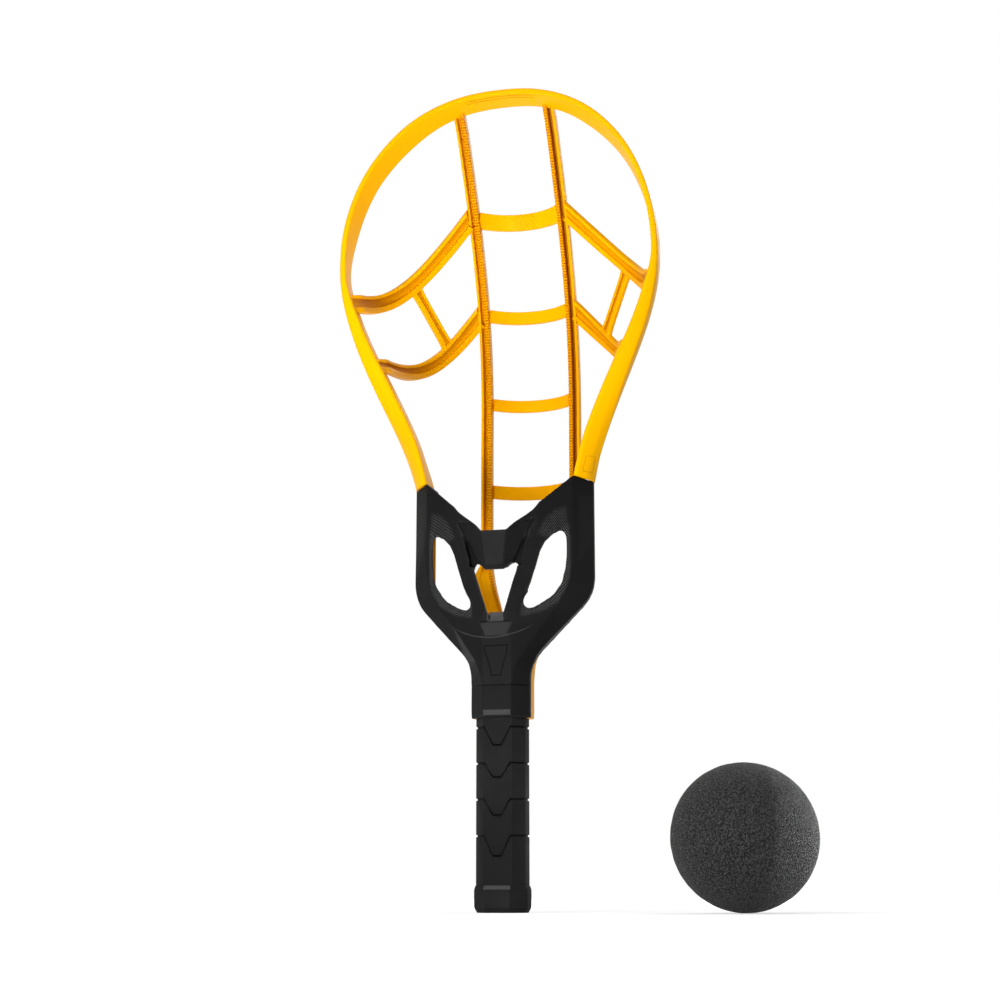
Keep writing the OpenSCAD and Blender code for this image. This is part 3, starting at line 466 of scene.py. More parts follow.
@dataclass
class Wiring:
    """Adds nodes to one tree and joins them."""

    tree: bpy.types.NodeTree

    def add(self, kind: str, **settings: Any) -> bpy.types.Node:
        """A new node with its settings.

        Args:
            kind: Blender's name of the node type.
            settings: Properties of the node.

        Returns:
            The node.
        """
        made = self.tree.nodes.new(kind)
        for key, value in settings.items():
            setattr(made, key, value)
        return made

    def feed(self, socket: bpy.types.NodeSocket, value: Value) -> None:
        """Links a socket to another, or sets its value."""
        if isinstance(value, bpy.types.NodeSocket):
            self.tree.links.new(value, socket)
        else:
            socket.default_value = value

    def calc(self, operation: str, *values: Value, clamp: bool = False) -> bpy.types.NodeSocket:
        """Result of a Math node.

        Args:
            operation: Name of the operation.
            values: Its operands.
            clamp: Whether the result is held between 0 and 1.

        Returns:
            The node's output.
        """
        made = self.add("ShaderNodeMath", operation=operation, use_clamp=clamp)
        for socket, value in zip(made.inputs, values):
            self.feed(socket, value)
        return made.outputs[0]

    def ramp(self, value: Value, low: float, high: float, out_low: float = 0,
             out_high: float = 1) -> bpy.types.NodeSocket:
        """Smooth change of a value from out_low at low to out_high at high.

        Args:
            value: What is mapped.
            low: Where the change begins.
            high: Where it ends.
            out_low: Result at low.
            out_high: Result at high.

        Returns:
            The mapped value.
        """
        made = self.add("ShaderNodeMapRange", interpolation_type="SMOOTHSTEP")
        for name, number in (("From Min", low), ("From Max", high), ("To Min", out_low),
                             ("To Max", out_high), ("Value", value)):
            self.feed(made.inputs[name], number)
        return made.outputs["Result"]

    def blend(self, share: Value, a: Value, b: Value) -> bpy.types.NodeSocket:
        """Colour a where share is 0 and colour b where it is 1."""
        made = self.add("ShaderNodeMix", data_type="RGBA")
        for index, value in ((0, share), (6, a), (7, b)):
            self.feed(made.inputs[index], value)
        return made.outputs[2]

    def tint(self, colour: Value, mask: Value, share: float, other: Value) -> bpy.types.NodeSocket:
        """Colour with another laid over it, by a share of a mask."""
        return self.blend(self.calc("MULTIPLY", mask, share), colour, other)

    def mark(self, name: str) -> bpy.types.NodeSocket:
        """The number that the mesh stores under a name."""
        return self.add("ShaderNodeAttribute", attribute_name=name).outputs["Fac"]

    def split(self, vector: Value) -> bpy.types.Node:
        """The three parts of a vector."""
        made = self.add("ShaderNodeSeparateXYZ")
        self.feed(made.inputs[0], vector)
        return made

    def noise(self, vector: Value, scale: Value, detail: float = 2,
              roughness: float = 0.5) -> bpy.types.NodeSocket:
        """Cloudy value about 0.5.

        Args:
            vector: Coordinates.
            scale: Clouds to the metre.
            detail: Number of finer layers.
            roughness: Strength of the finer layers.

        Returns:
            The noise value.
        """
        made = self.add("ShaderNodeTexNoise")
        for name, value in (("Vector", vector), ("Scale", scale), ("Detail", detail),
                            ("Roughness", roughness)):
            self.feed(made.inputs[name], value)
        return made.outputs[0]

    def cells(self, vector: Value, scale: Value) -> bpy.types.NodeSocket:
        """Distance to the nearest of scattered points, in cells, with so many cells to the metre."""
        made = self.add("ShaderNodeTexVoronoi")
        for name, value in (("Vector", vector), ("Scale", scale)):
            self.feed(made.inputs[name], value)
        return made.outputs["Distance"]

    def place(self, group: bpy.types.NodeTree, **values: Value) -> bpy.types.Node:
        """A shared group with its own values."""
        made = self.add("ShaderNodeGroup", node_tree=group)
        for name, value in values.items():
            self.feed(made.inputs[name], value)
        return made

    def bump(self, height: Value, distance: float) -> bpy.types.NodeSocket:
        """Normal of a surface raised by height, where a height of 1 is so many mm."""
        made = self.add("ShaderNodeBump")
        made.inputs["Distance"].default_value = distance * MM
        self.feed(made.inputs["Height"], height)
        return made.outputs["Normal"]


def new_group(name: str, inputs: dict[str, Value], *outputs: str) -> tuple[Wiring, Any, Any]:
    """An empty shader node group with named sockets.

    Args:
        name: The group's name.
        inputs: Each input with its default, a number for a value and None for a vector.
        outputs: Names of the outputs, which are all values.

    Returns:
        Its wiring, the outputs of its group input node, and the inputs of its group output node.
    """
    tree = bpy.data.node_groups.new(name, "ShaderNodeTree")
    for key, value in inputs.items():
        kind = "NodeSocketVector" if value is None else "NodeSocketFloat"
        socket = tree.interface.new_socket(name=key, in_out="INPUT", socket_type=kind)
        if value is not None:
            socket.default_value = value
    for key in outputs:
        tree.interface.new_socket(name=key, in_out="OUTPUT", socket_type="NodeSocketFloat")
    wires = Wiring(tree)
    return wires, wires.add("NodeGroupInput").outputs, wires.add("NodeGroupOutput").inputs


@dataclass
class SharedEffects:
    """Node groups that more than one finish uses."""

    grain: bpy.types.NodeTree = field(init=False)
    handling: bpy.types.NodeTree = field(init=False)
    dots: bpy.types.NodeTree = field(init=False)

    def __post_init__(self) -> None:
        """Builds each group once."""
        self.grain = self.make_grain()
        self.handling = self.make_handling()
        self.dots = self.make_dots()

    def make_grain(self) -> bpy.types.NodeTree:
        """Fine moulded grain: a noise laid over small rounded cells."""
        w, given, result = new_group("moulded_grain", {"Vector": None, "Scale": 1500.0, "Pebble": 0.5},
                                     "Height", "Tone")
        fine = w.noise(given["Vector"], given["Scale"], 3, 0.6)
        pebbles = w.cells(given["Vector"], w.calc("MULTIPLY", given["Scale"], 0.8))
        fine_share = w.calc("SUBTRACT", 1.0, given["Pebble"])
        height = w.calc("ADD", w.calc("MULTIPLY", fine, fine_share),
                        w.calc("MULTIPLY", w.calc("SUBTRACT", 1.0, pebbles), given["Pebble"]))
        w.feed(result["Height"], height)
        w.feed(result["Tone"], w.noise(given["Vector"], 26.0, 2, 0.5))
        return w.tree

    def make_handling(self) -> bpy.types.NodeTree:
        """Marks of use: soft smears and sparse short scratches, drawn out along one direction."""
        w, given, result = new_group("handling_marks", {"Vector": None, "Amount": 0.5},
                                     "Smear", "Scratch")
        drawn = w.add("ShaderNodeMapping")
        drawn.inputs["Rotation"].default_value = (0.5, 0.35, 0.9)
        drawn.inputs["Scale"].default_value = (1.0, 0.07, 1.0)
        w.feed(drawn.inputs["Vector"], given["Vector"])
        smear = w.ramp(w.noise(given["Vector"], 34.0, 3, 0.55), 0.42, 0.72)
        lines = w.ramp(w.noise(drawn.outputs[0], 900.0, 1, 0.4), 0.66, 0.74)
        patch = w.ramp(w.noise(given["Vector"], 55.0, 1, 0.5), 0.5, 0.62)
        scratch = w.calc("MULTIPLY", lines, patch)
        w.feed(result["Smear"], w.calc("MULTIPLY", smear, given["Amount"]))
        w.feed(result["Scratch"], w.calc("MULTIPLY", scratch, given["Amount"]))
        return w.tree

    def make_dots(self) -> bpy.types.NodeTree:
        """Lattice of round dots on upright faces: the product of a sine along X + Y and one along Z."""
        w, given, result = new_group("dot_lattice", {"Vector": None, "Pitch": 0.9}, "Height")
        parts = w.split(given["Vector"]).outputs
        turn = w.calc("DIVIDE", math.pi / MM, given["Pitch"])
        level = w.calc("ADD", parts["X"], parts["Y"])
        waves = [w.calc("SINE", w.calc("MULTIPLY", along, turn)) for along in (level, parts["Z"])]
        w.feed(result["Height"], w.ramp(w.calc("MULTIPLY", *waves), 0.05, 0.6))
        return w.tree


# ---------------------------------------------------------------- finishes


def shader_of(material: bpy.types.Material) -> tuple[Wiring, bpy.types.Node, bpy.types.NodeSocket]:
    """Clears a material to one Principled shader.

    Args:
        material: The material, with nodes in use.

    Returns:
        Its wiring, its shader and the Object coordinates.
    """
    material.use_nodes = True
    tree = material.node_tree
    tree.nodes.clear()
    w = Wiring(tree)
    out, shader = w.add("ShaderNodeOutputMaterial"), w.add("ShaderNodeBsdfPrincipled")
    w.feed(out.inputs["Surface"], shader.outputs[0])
    return w, shader, w.add("ShaderNodeTexCoord").outputs["Object"]


def join_finish(w: Wiring, shader: bpy.types.Node, colour: Value, rough: Value, normal: Value,
                specular: float) -> None:
    """Joins a finish to its shader.

    Args:
        w: The material's wiring.
        shader: The material's shader.
        colour: Base colour.
        rough: Roughness.
        normal: Bumped normal.
        specular: Specular level, the same all over.
    """
    for name, value in (("Base Color", colour), ("Roughness", rough), ("Normal", normal)):
        w.feed(shader.inputs[name], value)
    shader.inputs["Specular IOR Level"].default_value = specular


@dataclass(frozen=True)
class Patch:
    """Patch on the front whose width changes evenly from its foot to its head. Sizes are in mm."""

    half_low: float
    half_high: float
    low: float
    high: float
    share: float = 1.0
    far: float = 3.0
    near: float = -60.0
    fade: float = 0.4
    soft: tuple[float, float] = (-0.3, 0.15)

    def mask(self, w: Wiring, parts: Any) -> bpy.types.NodeSocket:
        """The patch's share inside it, fading to 0 at its edges and behind its far depth.

        Args:
            w: The material's wiring.
            parts: The parts of the Object coordinates.

        Returns:
            The mask.
        """
        low, high, fade = self.low * MM, self.high * MM, self.fade * MM
        half = w.ramp(parts["Z"], low, high, self.half_low * MM, self.half_high * MM)
        off = w.calc("SUBTRACT", w.calc("ABSOLUTE", parts["X"]), half)
        across = w.ramp(off, self.soft[0] * MM, self.soft[1] * MM, self.share, 0)
        upright = w.calc("MULTIPLY", w.ramp(parts["Z"], low, low + fade),
                         w.ramp(parts["Z"], high - fade, high, 1, 0))
        front = w.calc("MULTIPLY", w.ramp(parts["Y"], self.far * MM, (self.far + 2) * MM, 1, 0),
                       w.ramp(parts["Y"], (self.near - 1) * MM, self.near * MM))
        return w.calc("MULTIPLY", w.calc("MULTIPLY", across, front), upright)


@dataclass(frozen=True)
class MouldedYellow:
    """Semi-gloss yellow plastic with a faint mould grain, light handling marks, and painted shade in
    grooves, channels and slits.
    """

    name: str = "moulded_yellow"
    colour: Colour = (0.97, 0.46, 0.0, 1)
    deep: Colour = (0.96, 0.45, 0.0, 1)
    # groove and slit: painted shade, dark amber in channels and near-black in the deepest slits.
    groove: Colour = (0.50, 0.165, 0.0, 1)
    slit: Colour = (0.045, 0.013, 0.0, 1)
    sheen: Colour = (1, 0.75, 0.25, 1)
    roughness: float = 0.40
    specular: float = 0.08
    grain: float = 0.05
    grain_share: float = 0.02
    snap_window: bool = False
    window_middle: tuple[float, float] = (59.2, 282.3)
    window_half: tuple[float, float] = (2.5, 5.0)
    window_lean: float = 0.26
    window_corner: float = 1.2
    knurl: bool = False
    knurl_middle: float = 2.0
    knurl_half: tuple[float, float] = (7.0, 9.0)
    knurl_pitch: float = 1.15

    def build(self, shared: SharedEffects) -> bpy.types.Material:
        """Builds the material.

        Args:
            shared: The shared node groups.

        Returns:
            The material.
        """
        material = bpy.data.materials.new(self.name)
        w, shader, place = shader_of(material)
        grain = w.place(shared.grain, Vector=place, Scale=1700.0, Pebble=0.3).outputs
        marks = w.place(shared.handling, Vector=place, Amount=0.5).outputs
        colour = w.blend(w.ramp(grain["Tone"], 0.3, 0.7), self.colour, self.deep)
        # Painted shade by the groove mark: dark amber up to 0.5, then near-black towards 1.
        depth = w.mark("groove")
        colour = w.blend(w.calc("MULTIPLY", depth, 2.0, clamp=True), colour, self.groove)
        colour = w.blend(w.calc("MULTIPLY_ADD", depth, 2.0, -1.0, clamp=True), colour, self.slit)
        height = w.calc("MULTIPLY", grain["Height"], self.grain_share)
        parts = w.split(place).outputs
        if self.snap_window:
            line = self.window_line(w, parts)
            colour = w.tint(colour, line, 0.2, self.groove)
            height = w.calc("SUBTRACT", height, w.calc("MULTIPLY", line, 4.0))
        if self.knurl:
            dot = self.knurl_dots(w, parts, w.place(shared.dots, Vector=place, Pitch=self.knurl_pitch))
            colour = w.tint(colour, dot, 0.3, self.groove)
            height = w.calc("ADD", height, w.calc("MULTIPLY", dot, 3.0))
        rough = w.calc("ADD", w.calc("MULTIPLY", marks["Smear"], 0.14), self.roughness)
        rough = w.calc("ADD", rough, w.calc("MULTIPLY", marks["Scratch"], 0.2))
        join_finish(w, shader, colour, rough, w.bump(height, self.grain), self.specular)
        shader.inputs["Specular Tint"].default_value = self.sheen
        return material

    def knurl_dots(self, w: Wiring, parts: Any, dots: bpy.types.Node) -> bpy.types.NodeSocket:
        """Dots of the lattice near the middle of the rung, fading out towards its ends."""
        x = w.calc("SUBTRACT", parts["X"], self.knurl_middle * MM)
        low, high = self.knurl_half
        near = w.ramp(w.calc("ABSOLUTE", x), low * MM, high * MM, 1, 0)
        return w.calc("MULTIPLY", dots.outputs[0], near)

    def window_line(self, w: Wiring, parts: Any) -> bpy.types.NodeSocket:
        """Thin line round the snap window on the hoop's right end, at equal distance from a box.

        Args:
            w: The material's wiring.
            parts: The parts of the Object coordinates.

        Returns:
            1 on the line and 0 elsewhere.
        """
        x = w.calc("SUBTRACT", parts["X"], self.window_middle[0] * MM)
        z = w.calc("SUBTRACT", parts["Z"], self.window_middle[1] * MM)
        lean = w.calc("SUBTRACT", x, w.calc("MULTIPLY", z, self.window_lean))
        dx = w.calc("SUBTRACT", w.calc("ABSOLUTE", lean), self.window_half[0] * MM)
        dz = w.calc("SUBTRACT", w.calc("ABSOLUTE", z), self.window_half[1] * MM)
        off = w.calc("ABSOLUTE", w.calc("SMOOTH_MAX", dx, dz, self.window_corner * MM))
        return w.ramp(off, 0.15 * MM, 0.5 * MM, 1, 0)


@dataclass(frozen=True)
class SatinBlack:
    """Satin black plastic with a leathery grain, dots where the point attribute says so, painted
    highlights on its lit edges and facets, and painted shade in its hollows and grooves.
    """

    name: str = "satin_black"
    colour: Colour = (0.0072, 0.0072, 0.0074, 1)
    worn: Colour = (0.0098, 0.0098, 0.0100, 1)
    # deep: near-black painted shade for hollows, creases, the badge outline and the collar groove.
    deep: Colour = (0.0015, 0.0015, 0.0015, 1)
    # pale: the colour of the painted highlights on lit edges, facets and the seam line.
    pale: Colour = (0.060, 0.060, 0.061, 1)
    dot: Colour = (0.105, 0.105, 0.106, 1)
    roughness: float = 0.42
    specular: float = 0.03
    grain: float = 0.07
    # chin, sill, collar and nose: painted highlights on facets that face the lamps.
    chin: Patch = Patch(7.3, 10.5, 171.7, 180.4, 0.32)
    sill: Patch = Patch(5.4, 5.4, 180.9, 187.9, 1.0, far=-4)
    collar: Patch = Patch(8.9, 8.9, 121.7, 125.3, 0.65)
    nose: Patch = Patch(5.8, 8.1, 216.5, 240.5, 0.12)
    badge: Patch = Patch(3.6, 7.9, 146.3, 166.0)
    badge_inside: Patch = Patch(3.0, 7.3, 146.9, 165.4)
    collar_groove: Patch = Patch(40, 40, 140.2, 141.2, 0.9)
    seam_low: tuple[float, float] = (-3.0, 170.7)
    seam_curve: float = 10.8

    def build(self, shared: SharedEffects) -> bpy.types.Material:
        """Builds the material.

        Args:
            shared: The shared node groups.

        Returns:
            The material.
        """
        material = bpy.data.materials.new(self.name)
        w, shader, place = shader_of(material)
        grain = w.place(shared.grain, Vector=place, Scale=1150.0, Pebble=0.55).outputs
        marks = w.place(shared.handling, Vector=place, Amount=0.8).outputs
        dots = w.place(shared.dots, Vector=place, Pitch=0.95).outputs[0]
        parts = w.split(place).outputs
        badge_line = w.calc("SUBTRACT", self.badge.mask(w, parts), self.badge_inside.mask(w, parts),
                            clamp=True)
        groove, seam = self.collar_groove.mask(w, parts), self.seam_line(w, parts)
        lit = w.calc("MULTIPLY", dots, w.mark("dotted_panel"))
        colour = w.blend(w.ramp(grain["Tone"], 0.3, 0.7), self.colour, self.worn)
        colour = w.tint(colour, marks["Scratch"], 0.06, self.dot)
        # Painted highlight along convex edges, and painted shade in hollows and creases.
        colour = w.tint(colour, w.mark("edge_highlight"), 0.22, self.pale)
        colour = w.tint(colour, w.mark("crevice_shade"), 0.75, self.deep)
        # Painted highlights on the facets that face the light: chin, sill, collar bevel and nose.
        for patch in (self.chin, self.sill, self.collar, self.nose):
            colour = w.blend(patch.mask(w, parts), colour, self.pale)
        # Painted shade in the badge's outline groove and in the collar groove.
        colour = w.tint(colour, badge_line, 0.9, self.deep)
        colour = w.blend(groove, colour, self.deep)
        # Painted highlight along the seam groove under the windows.
        colour = w.tint(colour, seam, 0.6, self.pale)
        colour = w.tint(colour, lit, 0.8, self.dot)
        height = w.calc("MULTIPLY", grain["Height"], 0.55)
        for mask, rise in ((groove, -3.0), (badge_line, -3.0), (seam, -2.5), (lit, 1.6)):
            height = w.calc("MULTIPLY_ADD", mask, rise, height)
        rough = w.calc("MULTIPLY_ADD", marks["Smear"], -0.09, self.roughness)
        join_finish(w, shader, colour, rough, w.bump(height, self.grain), self.specular)
        return material

    def seam_line(self, w: Wiring, parts: Any) -> bpy.types.NodeSocket:
        """Thin line under the windows, along a parabola that is lowest just left of the middle.

        Args:
            w: The material's wiring.
            parts: The parts of the Object coordinates.

        Returns:
            1 on the line, fading out towards its ends.
        """
        x = w.calc("SUBTRACT", parts["X"], self.seam_low[0] * MM)
        curve = w.calc("MULTIPLY_ADD", w.calc("MULTIPLY", x, x), self.seam_curve, self.seam_low[1] * MM)
        off = w.calc("ABSOLUTE", w.calc("SUBTRACT", parts["Z"], curve))
        ends = w.ramp(w.calc("ABSOLUTE", x), 17 * MM, 29 * MM, 1, 0)
        return w.calc("MULTIPLY", w.ramp(off, 0.1 * MM, 0.55 * MM, 1, 0), ends)


@dataclass(frozen=True)
class MatteGrip:
    """Matte soft grip with a dense fine grain, a painted highlight on its edges and the cap's front
    slope, and painted shade in its ring grooves.
    """

    name: str = "matte_grip"
    colour: Colour = (0.0098, 0.0098, 0.0100, 1)
    dusty: Colour = (0.0135, 0.0135, 0.0138, 1)
    # deep: near-black painted shade for the ring grooves.
    deep: Colour = (0.0015, 0.0015, 0.0015, 1)
    # pale: painted highlight colour for the edges and the cap's slope.
    pale: Colour = (0.055, 0.055, 0.056, 1)
    roughness: float = 0.62
    specular: float = 0.03
    grain: float = 0.08
    # cap_slope: painted highlight on the front facet of the cap's upper slope.
    cap_slope: Patch = Patch(8.9, 8.4, 14.0, 17.0, 0.85)
    top_ring: float = 114.6
    pitch: float = 22.5
    drops: tuple[float, ...] = (11.5, 9.0, 10.0, 12.5)
    point_half: float = 2.2
    facet_half: float = 8.9
    groove_half: tuple[float, float] = (0.45, 0.75)

    def build(self, shared: SharedEffects) -> bpy.types.Material:
        """Builds the material.

        Args:
            shared: The shared node groups.

        Returns:
            The material.
        """
        material = bpy.data.materials.new(self.name)
        w, shader, place = shader_of(material)
        grain = w.place(shared.grain, Vector=place, Scale=1900.0, Pebble=0.7).outputs
        marks = w.place(shared.handling, Vector=place, Amount=1.0).outputs
        parts = w.split(place).outputs
        colour = w.blend(w.ramp(grain["Tone"], 0.35, 0.7), self.colour, self.dusty)
        # Painted highlight along the rounded edges.
        colour = w.tint(colour, w.mark("edge_highlight"), 0.07, self.pale)
        # Painted highlight on the front of the cap's slope.
        colour = w.blend(self.cap_slope.mask(w, parts), colour, self.pale)
        # Painted shade in the ring grooves and their chevrons.
        colour = w.tint(colour, self.groove_mask(w, parts), 0.95, self.deep)
        rough = w.calc("MULTIPLY_ADD", marks["Smear"], -0.12, self.roughness)
        join_finish(w, shader, colour, rough, w.bump(grain["Height"], self.grain), self.specular)
        return material

    def groove_mask(self, w: Wiring, parts: Any) -> bpy.types.NodeSocket:
        """1 in the four ring grooves, which dip into chevrons on the front.

        On the front a groove's middle line falls evenly from the facet's edge to the chevron's level
        point; everywhere else it stays at the ring's height.

        Args:
            w: The material's wiring.
            parts: The parts of the Object coordinates.

        Returns:
            The mask.
        """
        aside = w.calc("ABSOLUTE", parts["X"])
        front = w.ramp(parts["Y"], -7 * MM, -6 * MM, 1, 0)
        wide, end = self.groove_half
        found: Value = 0.0
        for row, drop in enumerate(self.drops):
            dip = w.ramp(aside, self.point_half * MM, self.facet_half * MM, drop * MM, 0)
            height = w.calc("SUBTRACT", (self.top_ring - row * self.pitch) * MM,
                            w.calc("MULTIPLY", dip, front))
            off = w.calc("ABSOLUTE", w.calc("SUBTRACT", parts["Z"], height))
            found = w.calc("MAXIMUM", found, w.ramp(off, wide * MM, end * MM, 1, 0))
        return found


@dataclass(frozen=True)
class ZincSteel:
    """Plain zinc plated steel with a soft mottle."""

    name: str = "zinc_steel"
    colour: Colour = (0.50, 0.51, 0.53, 1)
    dull: Colour = (0.36, 0.37, 0.38, 1)
    roughness: float = 0.28
    specular: float = 0.5
    grain: float = 0.02

    def build(self, shared: SharedEffects) -> bpy.types.Material:
        """Builds the material.

        Args:
            shared: The shared node groups.

        Returns:
            The material.
        """
        material = bpy.data.materials.new(self.name)
        w, shader, place = shader_of(material)
        grain = w.place(shared.grain, Vector=place, Scale=2600.0, Pebble=0.2).outputs
        mottle = w.ramp(w.noise(place, 420.0, 3, 0.6), 0.35, 0.65)
        join_finish(w, shader, w.blend(mottle, self.colour, self.dull),
                    w.calc("MULTIPLY_ADD", mottle, 0.16, self.roughness),
                    w.bump(grain["Height"], self.grain), self.specular)
        shader.inputs["Metallic"].default_value = 1.0
        return material


@dataclass(frozen=True)
class CharcoalFoam:
    """Charcoal foam with small leathery cells and pale specks."""

    name: str = "charcoal_foam"
    colour: Colour = (0.0045, 0.0045, 0.0047, 1)
    raised: Colour = (0.066, 0.066, 0.067, 1)
    speck: Colour = (0.20, 0.20, 0.20, 1)
    roughness: float = 0.62
    specular: float = 0.25
    relief: float = 3.0

    def build(self, shared: SharedEffects) -> bpy.types.Material:
        """Builds the material.

        Args:
            shared: The shared node groups, of which foam uses none.

        Returns:
            The material.
        """
        material = bpy.data.materials.new(self.name)
        w, shader, place = shader_of(material)
        cells, small = w.cells(place, 1000.0), w.cells(place, 1150.0)
        cloud, sparse = w.noise(place, 850.0, 2, 0.6), w.noise(place, 900.0, 1, 0.5)
        raised = w.ramp(w.calc("SUBTRACT", cloud, w.calc("MULTIPLY", cells, 0.35)), 0.18, 0.5)
        speck = w.calc("MULTIPLY", w.ramp(small, 0.1, 0.3, 1, 0), w.ramp(sparse, 0.44, 0.6))
        colour = w.tint(w.blend(raised, self.colour, self.raised), speck, 0.75, self.speck)
        height = w.calc("ADD", w.calc("MULTIPLY", w.calc("SUBTRACT", 1.0, cells), 0.7),
                        w.calc("MULTIPLY", cloud, 0.5))
        join_finish(w, shader, colour, w.calc("MULTIPLY_ADD", cloud, 0.2, self.roughness),
                    w.bump(height, self.relief), self.specular)
        return material


@dataclass
class Finishes:
    """Every material of the racket and the ball, built once."""

    shared: SharedEffects
    hoop: bpy.types.Material = field(init=False)
    yellow: bpy.types.Material = field(init=False)
    knurled: bpy.types.Material = field(init=False)
    yoke: bpy.types.Material = field(init=False)
    grip: bpy.types.Material = field(init=False)
    steel: bpy.types.Material = field(init=False)
    foam: bpy.types.Material = field(init=False)

    def __post_init__(self) -> None:
        """Builds the materials from their finishes."""
        self.hoop = MouldedYellow(name="hoop_yellow", snap_window=True).build(self.shared)
        amber = {"colour": (0.96, 0.44, 0.0, 1), "deep": (0.95, 0.43, 0.0, 1)}
        self.yellow = MouldedYellow(**amber).build(self.shared)
        self.knurled = MouldedYellow(name="knurled_yellow", knurl=True, **amber).build(self.shared)
        self.yoke = SatinBlack().build(self.shared)
        self.grip = MatteGrip().build(self.shared)
        self.steel = ZincSteel().build(self.shared)
        self.foam = CharcoalFoam().build(self.shared)


# ---------------------------------------------------------------- hoop


@dataclass
class Hoop:
    """The scoop's rim: one band from shoulder over the crown to the other shoulder.

    k runs from 0 at the yoke over 1 at the widest place to 2 at the middle of the crown.
    """

    crown_z: float = 544.0
    widest_z: float = 420.0
    head_w: float = 217.5
    shoulder_w: float = 120.0
    shoulder_z: float = 272.0
    shoulder_lean: float = 13.2
    roundness: float = 0.93
    crown_band: float = 3.6
    side_band: float = 4.3
    low_band: float = 11.5
    tip_w: float = 11.1
    tip_front: float = -9.0
    crown_front: float = -10.8
    crown_depth: float = 17.5
    side_depth: float = 11.5
    bow: float = 22.0
    band_wall: float = 2.2
    end_depth: float = 17.0
    slits: Line = ((2.1, 27.0), (4.9, 23.0))
    slit_depth: float = 0.7
    slit_profile: Line = ((0.45, 0), (0.22, 1), (-0.22, 1), (-0.45, 0))
    # slit_mark and channel_mark: strength of the painted shade in the crown's slits and on the channel
    # floor.
    slit_mark: float = 0.8
    channel_mark: float = 0.4
    end_rings: int = 14
    rings: int = 250

    def rim(self, k: Array) -> Array:
        """Outer line of the hoop seen from the front, as [x, z].

        Up to k = 1 the width follows 3k^2 - 2k^3 with the shoulder's lean added, and above it x
        falls as a cosine to a power and z rises as a sine.
        """
        rise, crown_rise = self.widest_z - self.shoulder_z, self.crown_z - self.widest_z
        a, b = 3 * k**2 - 2 * k**3, k**3 - 2 * k**2 + k
        lean = math.tan(math.radians(self.shoulder_lean))
        low_x = lerp(self.shoulder_w / 2, self.head_w / 2, a) + b * rise * lean
        turn = math.pi / 2 * (np.clip(k, 1, 2) - 1)
        high_x = self.head_w / 2 * np.maximum(0, np.cos(turn)) ** self.roundness
        x = np.where(k <= 1, low_x, high_x)
        z = np.where(k <= 1, self.shoulder_z + k * rise, self.widest_z + crown_rise * np.sin(turn))
        return np.stack([x, z], 1)

    def course(self, k: Array) -> Array:
        """Unit direction of the rim at k, from the points just before and after it."""
        d = unit(self.rim(np.minimum(k + 5e-4, 2)) - self.rim(np.maximum(k - 5e-4, 0)))
        lean = math.radians(self.shoulder_lean)
        d = np.where((k == 0)[:, None], [math.sin(lean), math.cos(lean)], d)
        return np.where((k >= 2)[:, None], [-1.0, 0.0], d)

    def inward(self, k: Array) -> Array:
        """Unit direction from the rim towards the inside of the hoop."""
        d = self.course(k)
        return np.stack([-d[:, 1], d[:, 0]], 1)

    def width(self, k: Array) -> Array:
        """Width of the band across its front."""
        return through([[0, self.tip_w], [0.2, self.low_band + 0.8], [0.46, self.low_band],
                        [0.62, self.low_band - 1.6], [0.8, lerp(self.side_band, self.low_band, 0.5)],
                        [1, self.side_band], [2, self.crown_band]], k)

    def front(self, k: Array) -> Array:
        """Depth of the band's front edge."""
        tip, c, b = self.tip_front, self.crown_front, -self.bow
        return through([[0, tip], [0.2, tip - 0.8], [0.46, tip - 4.2], [0.7, 0.7 * b], [0.86, 0.79 * b],
                        [1, 0.88 * b], [1.15, b], [1.35, 0.97 * b], [1.5, lerp(c, b, 0.72)],
                        [1.65, lerp(c, b, 0.52)], [1.8, lerp(c, b, 0.24)], [2, c]], k)

    def depth(self, k: Array) -> Array:
        """Depth of the band from front to back."""
        s, c = self.side_depth, self.crown_depth
        deep = lerp(s, c, 0.8)
        return through([[0, self.end_depth], [0.12, 12.5], [0.46, 10.5], [1, s],
                        [1.16, lerp(s, c, 0.7)], [1.4, deep], [1.7, deep], [2, c]], k)

    def section(self, k: Array) -> Array:
        """Outline of the band at each k, as [inward, depth], with rounded corners and two slits.

        Returns:
            Shape (rings, points, 2).
        """
        w, y = self.width(k), self.front(k)
        slant = through([[0, 11.5], [0.2, 9.5], [0.46, 3], [0.8, 1.6], [1, 0.6], [2, 0]], k)
        lean = through([[1, 0], [1.16, 1.6], [1.36, 3.2], [1.6, 4.6], [1.8, 3], [2, 2.4]], k)
        back = y + self.depth(k)
        wall = np.minimum(self.band_wall, 0.3 * w)
        floor = back - through([[0, 9], [0.12, 4.7], [0.2, 4.5], [0.32, 5.3], [0.5, 6], [0.86, 3],
                                [1.36, 1], [1.5, 0.02]], k)
        n = [0.85 * lean, wall + lean, wall + lean, w - wall + lean, w - wall + lean, w + lean,
             w, 0.8 * w, 0.25 * w, 0 * w]
        d = [back, back, floor, floor, back, back, y + 0.6, y - 0.3, y + 0.5 * slant - 0.4, y + slant]
        corners = np.stack([np.stack(n, 1), np.stack(d, 1)], 2)
        radii = [0.8, 0.5, 0.6, 0.6, 0.5, 0.8, 0.9, 1.6, 2.2, 1.0]
        outline = rounded(corners, radii, 3)
        return np.concatenate([outline[:, :24], self.slit_points(k, corners), outline[:, 24:]], 1)

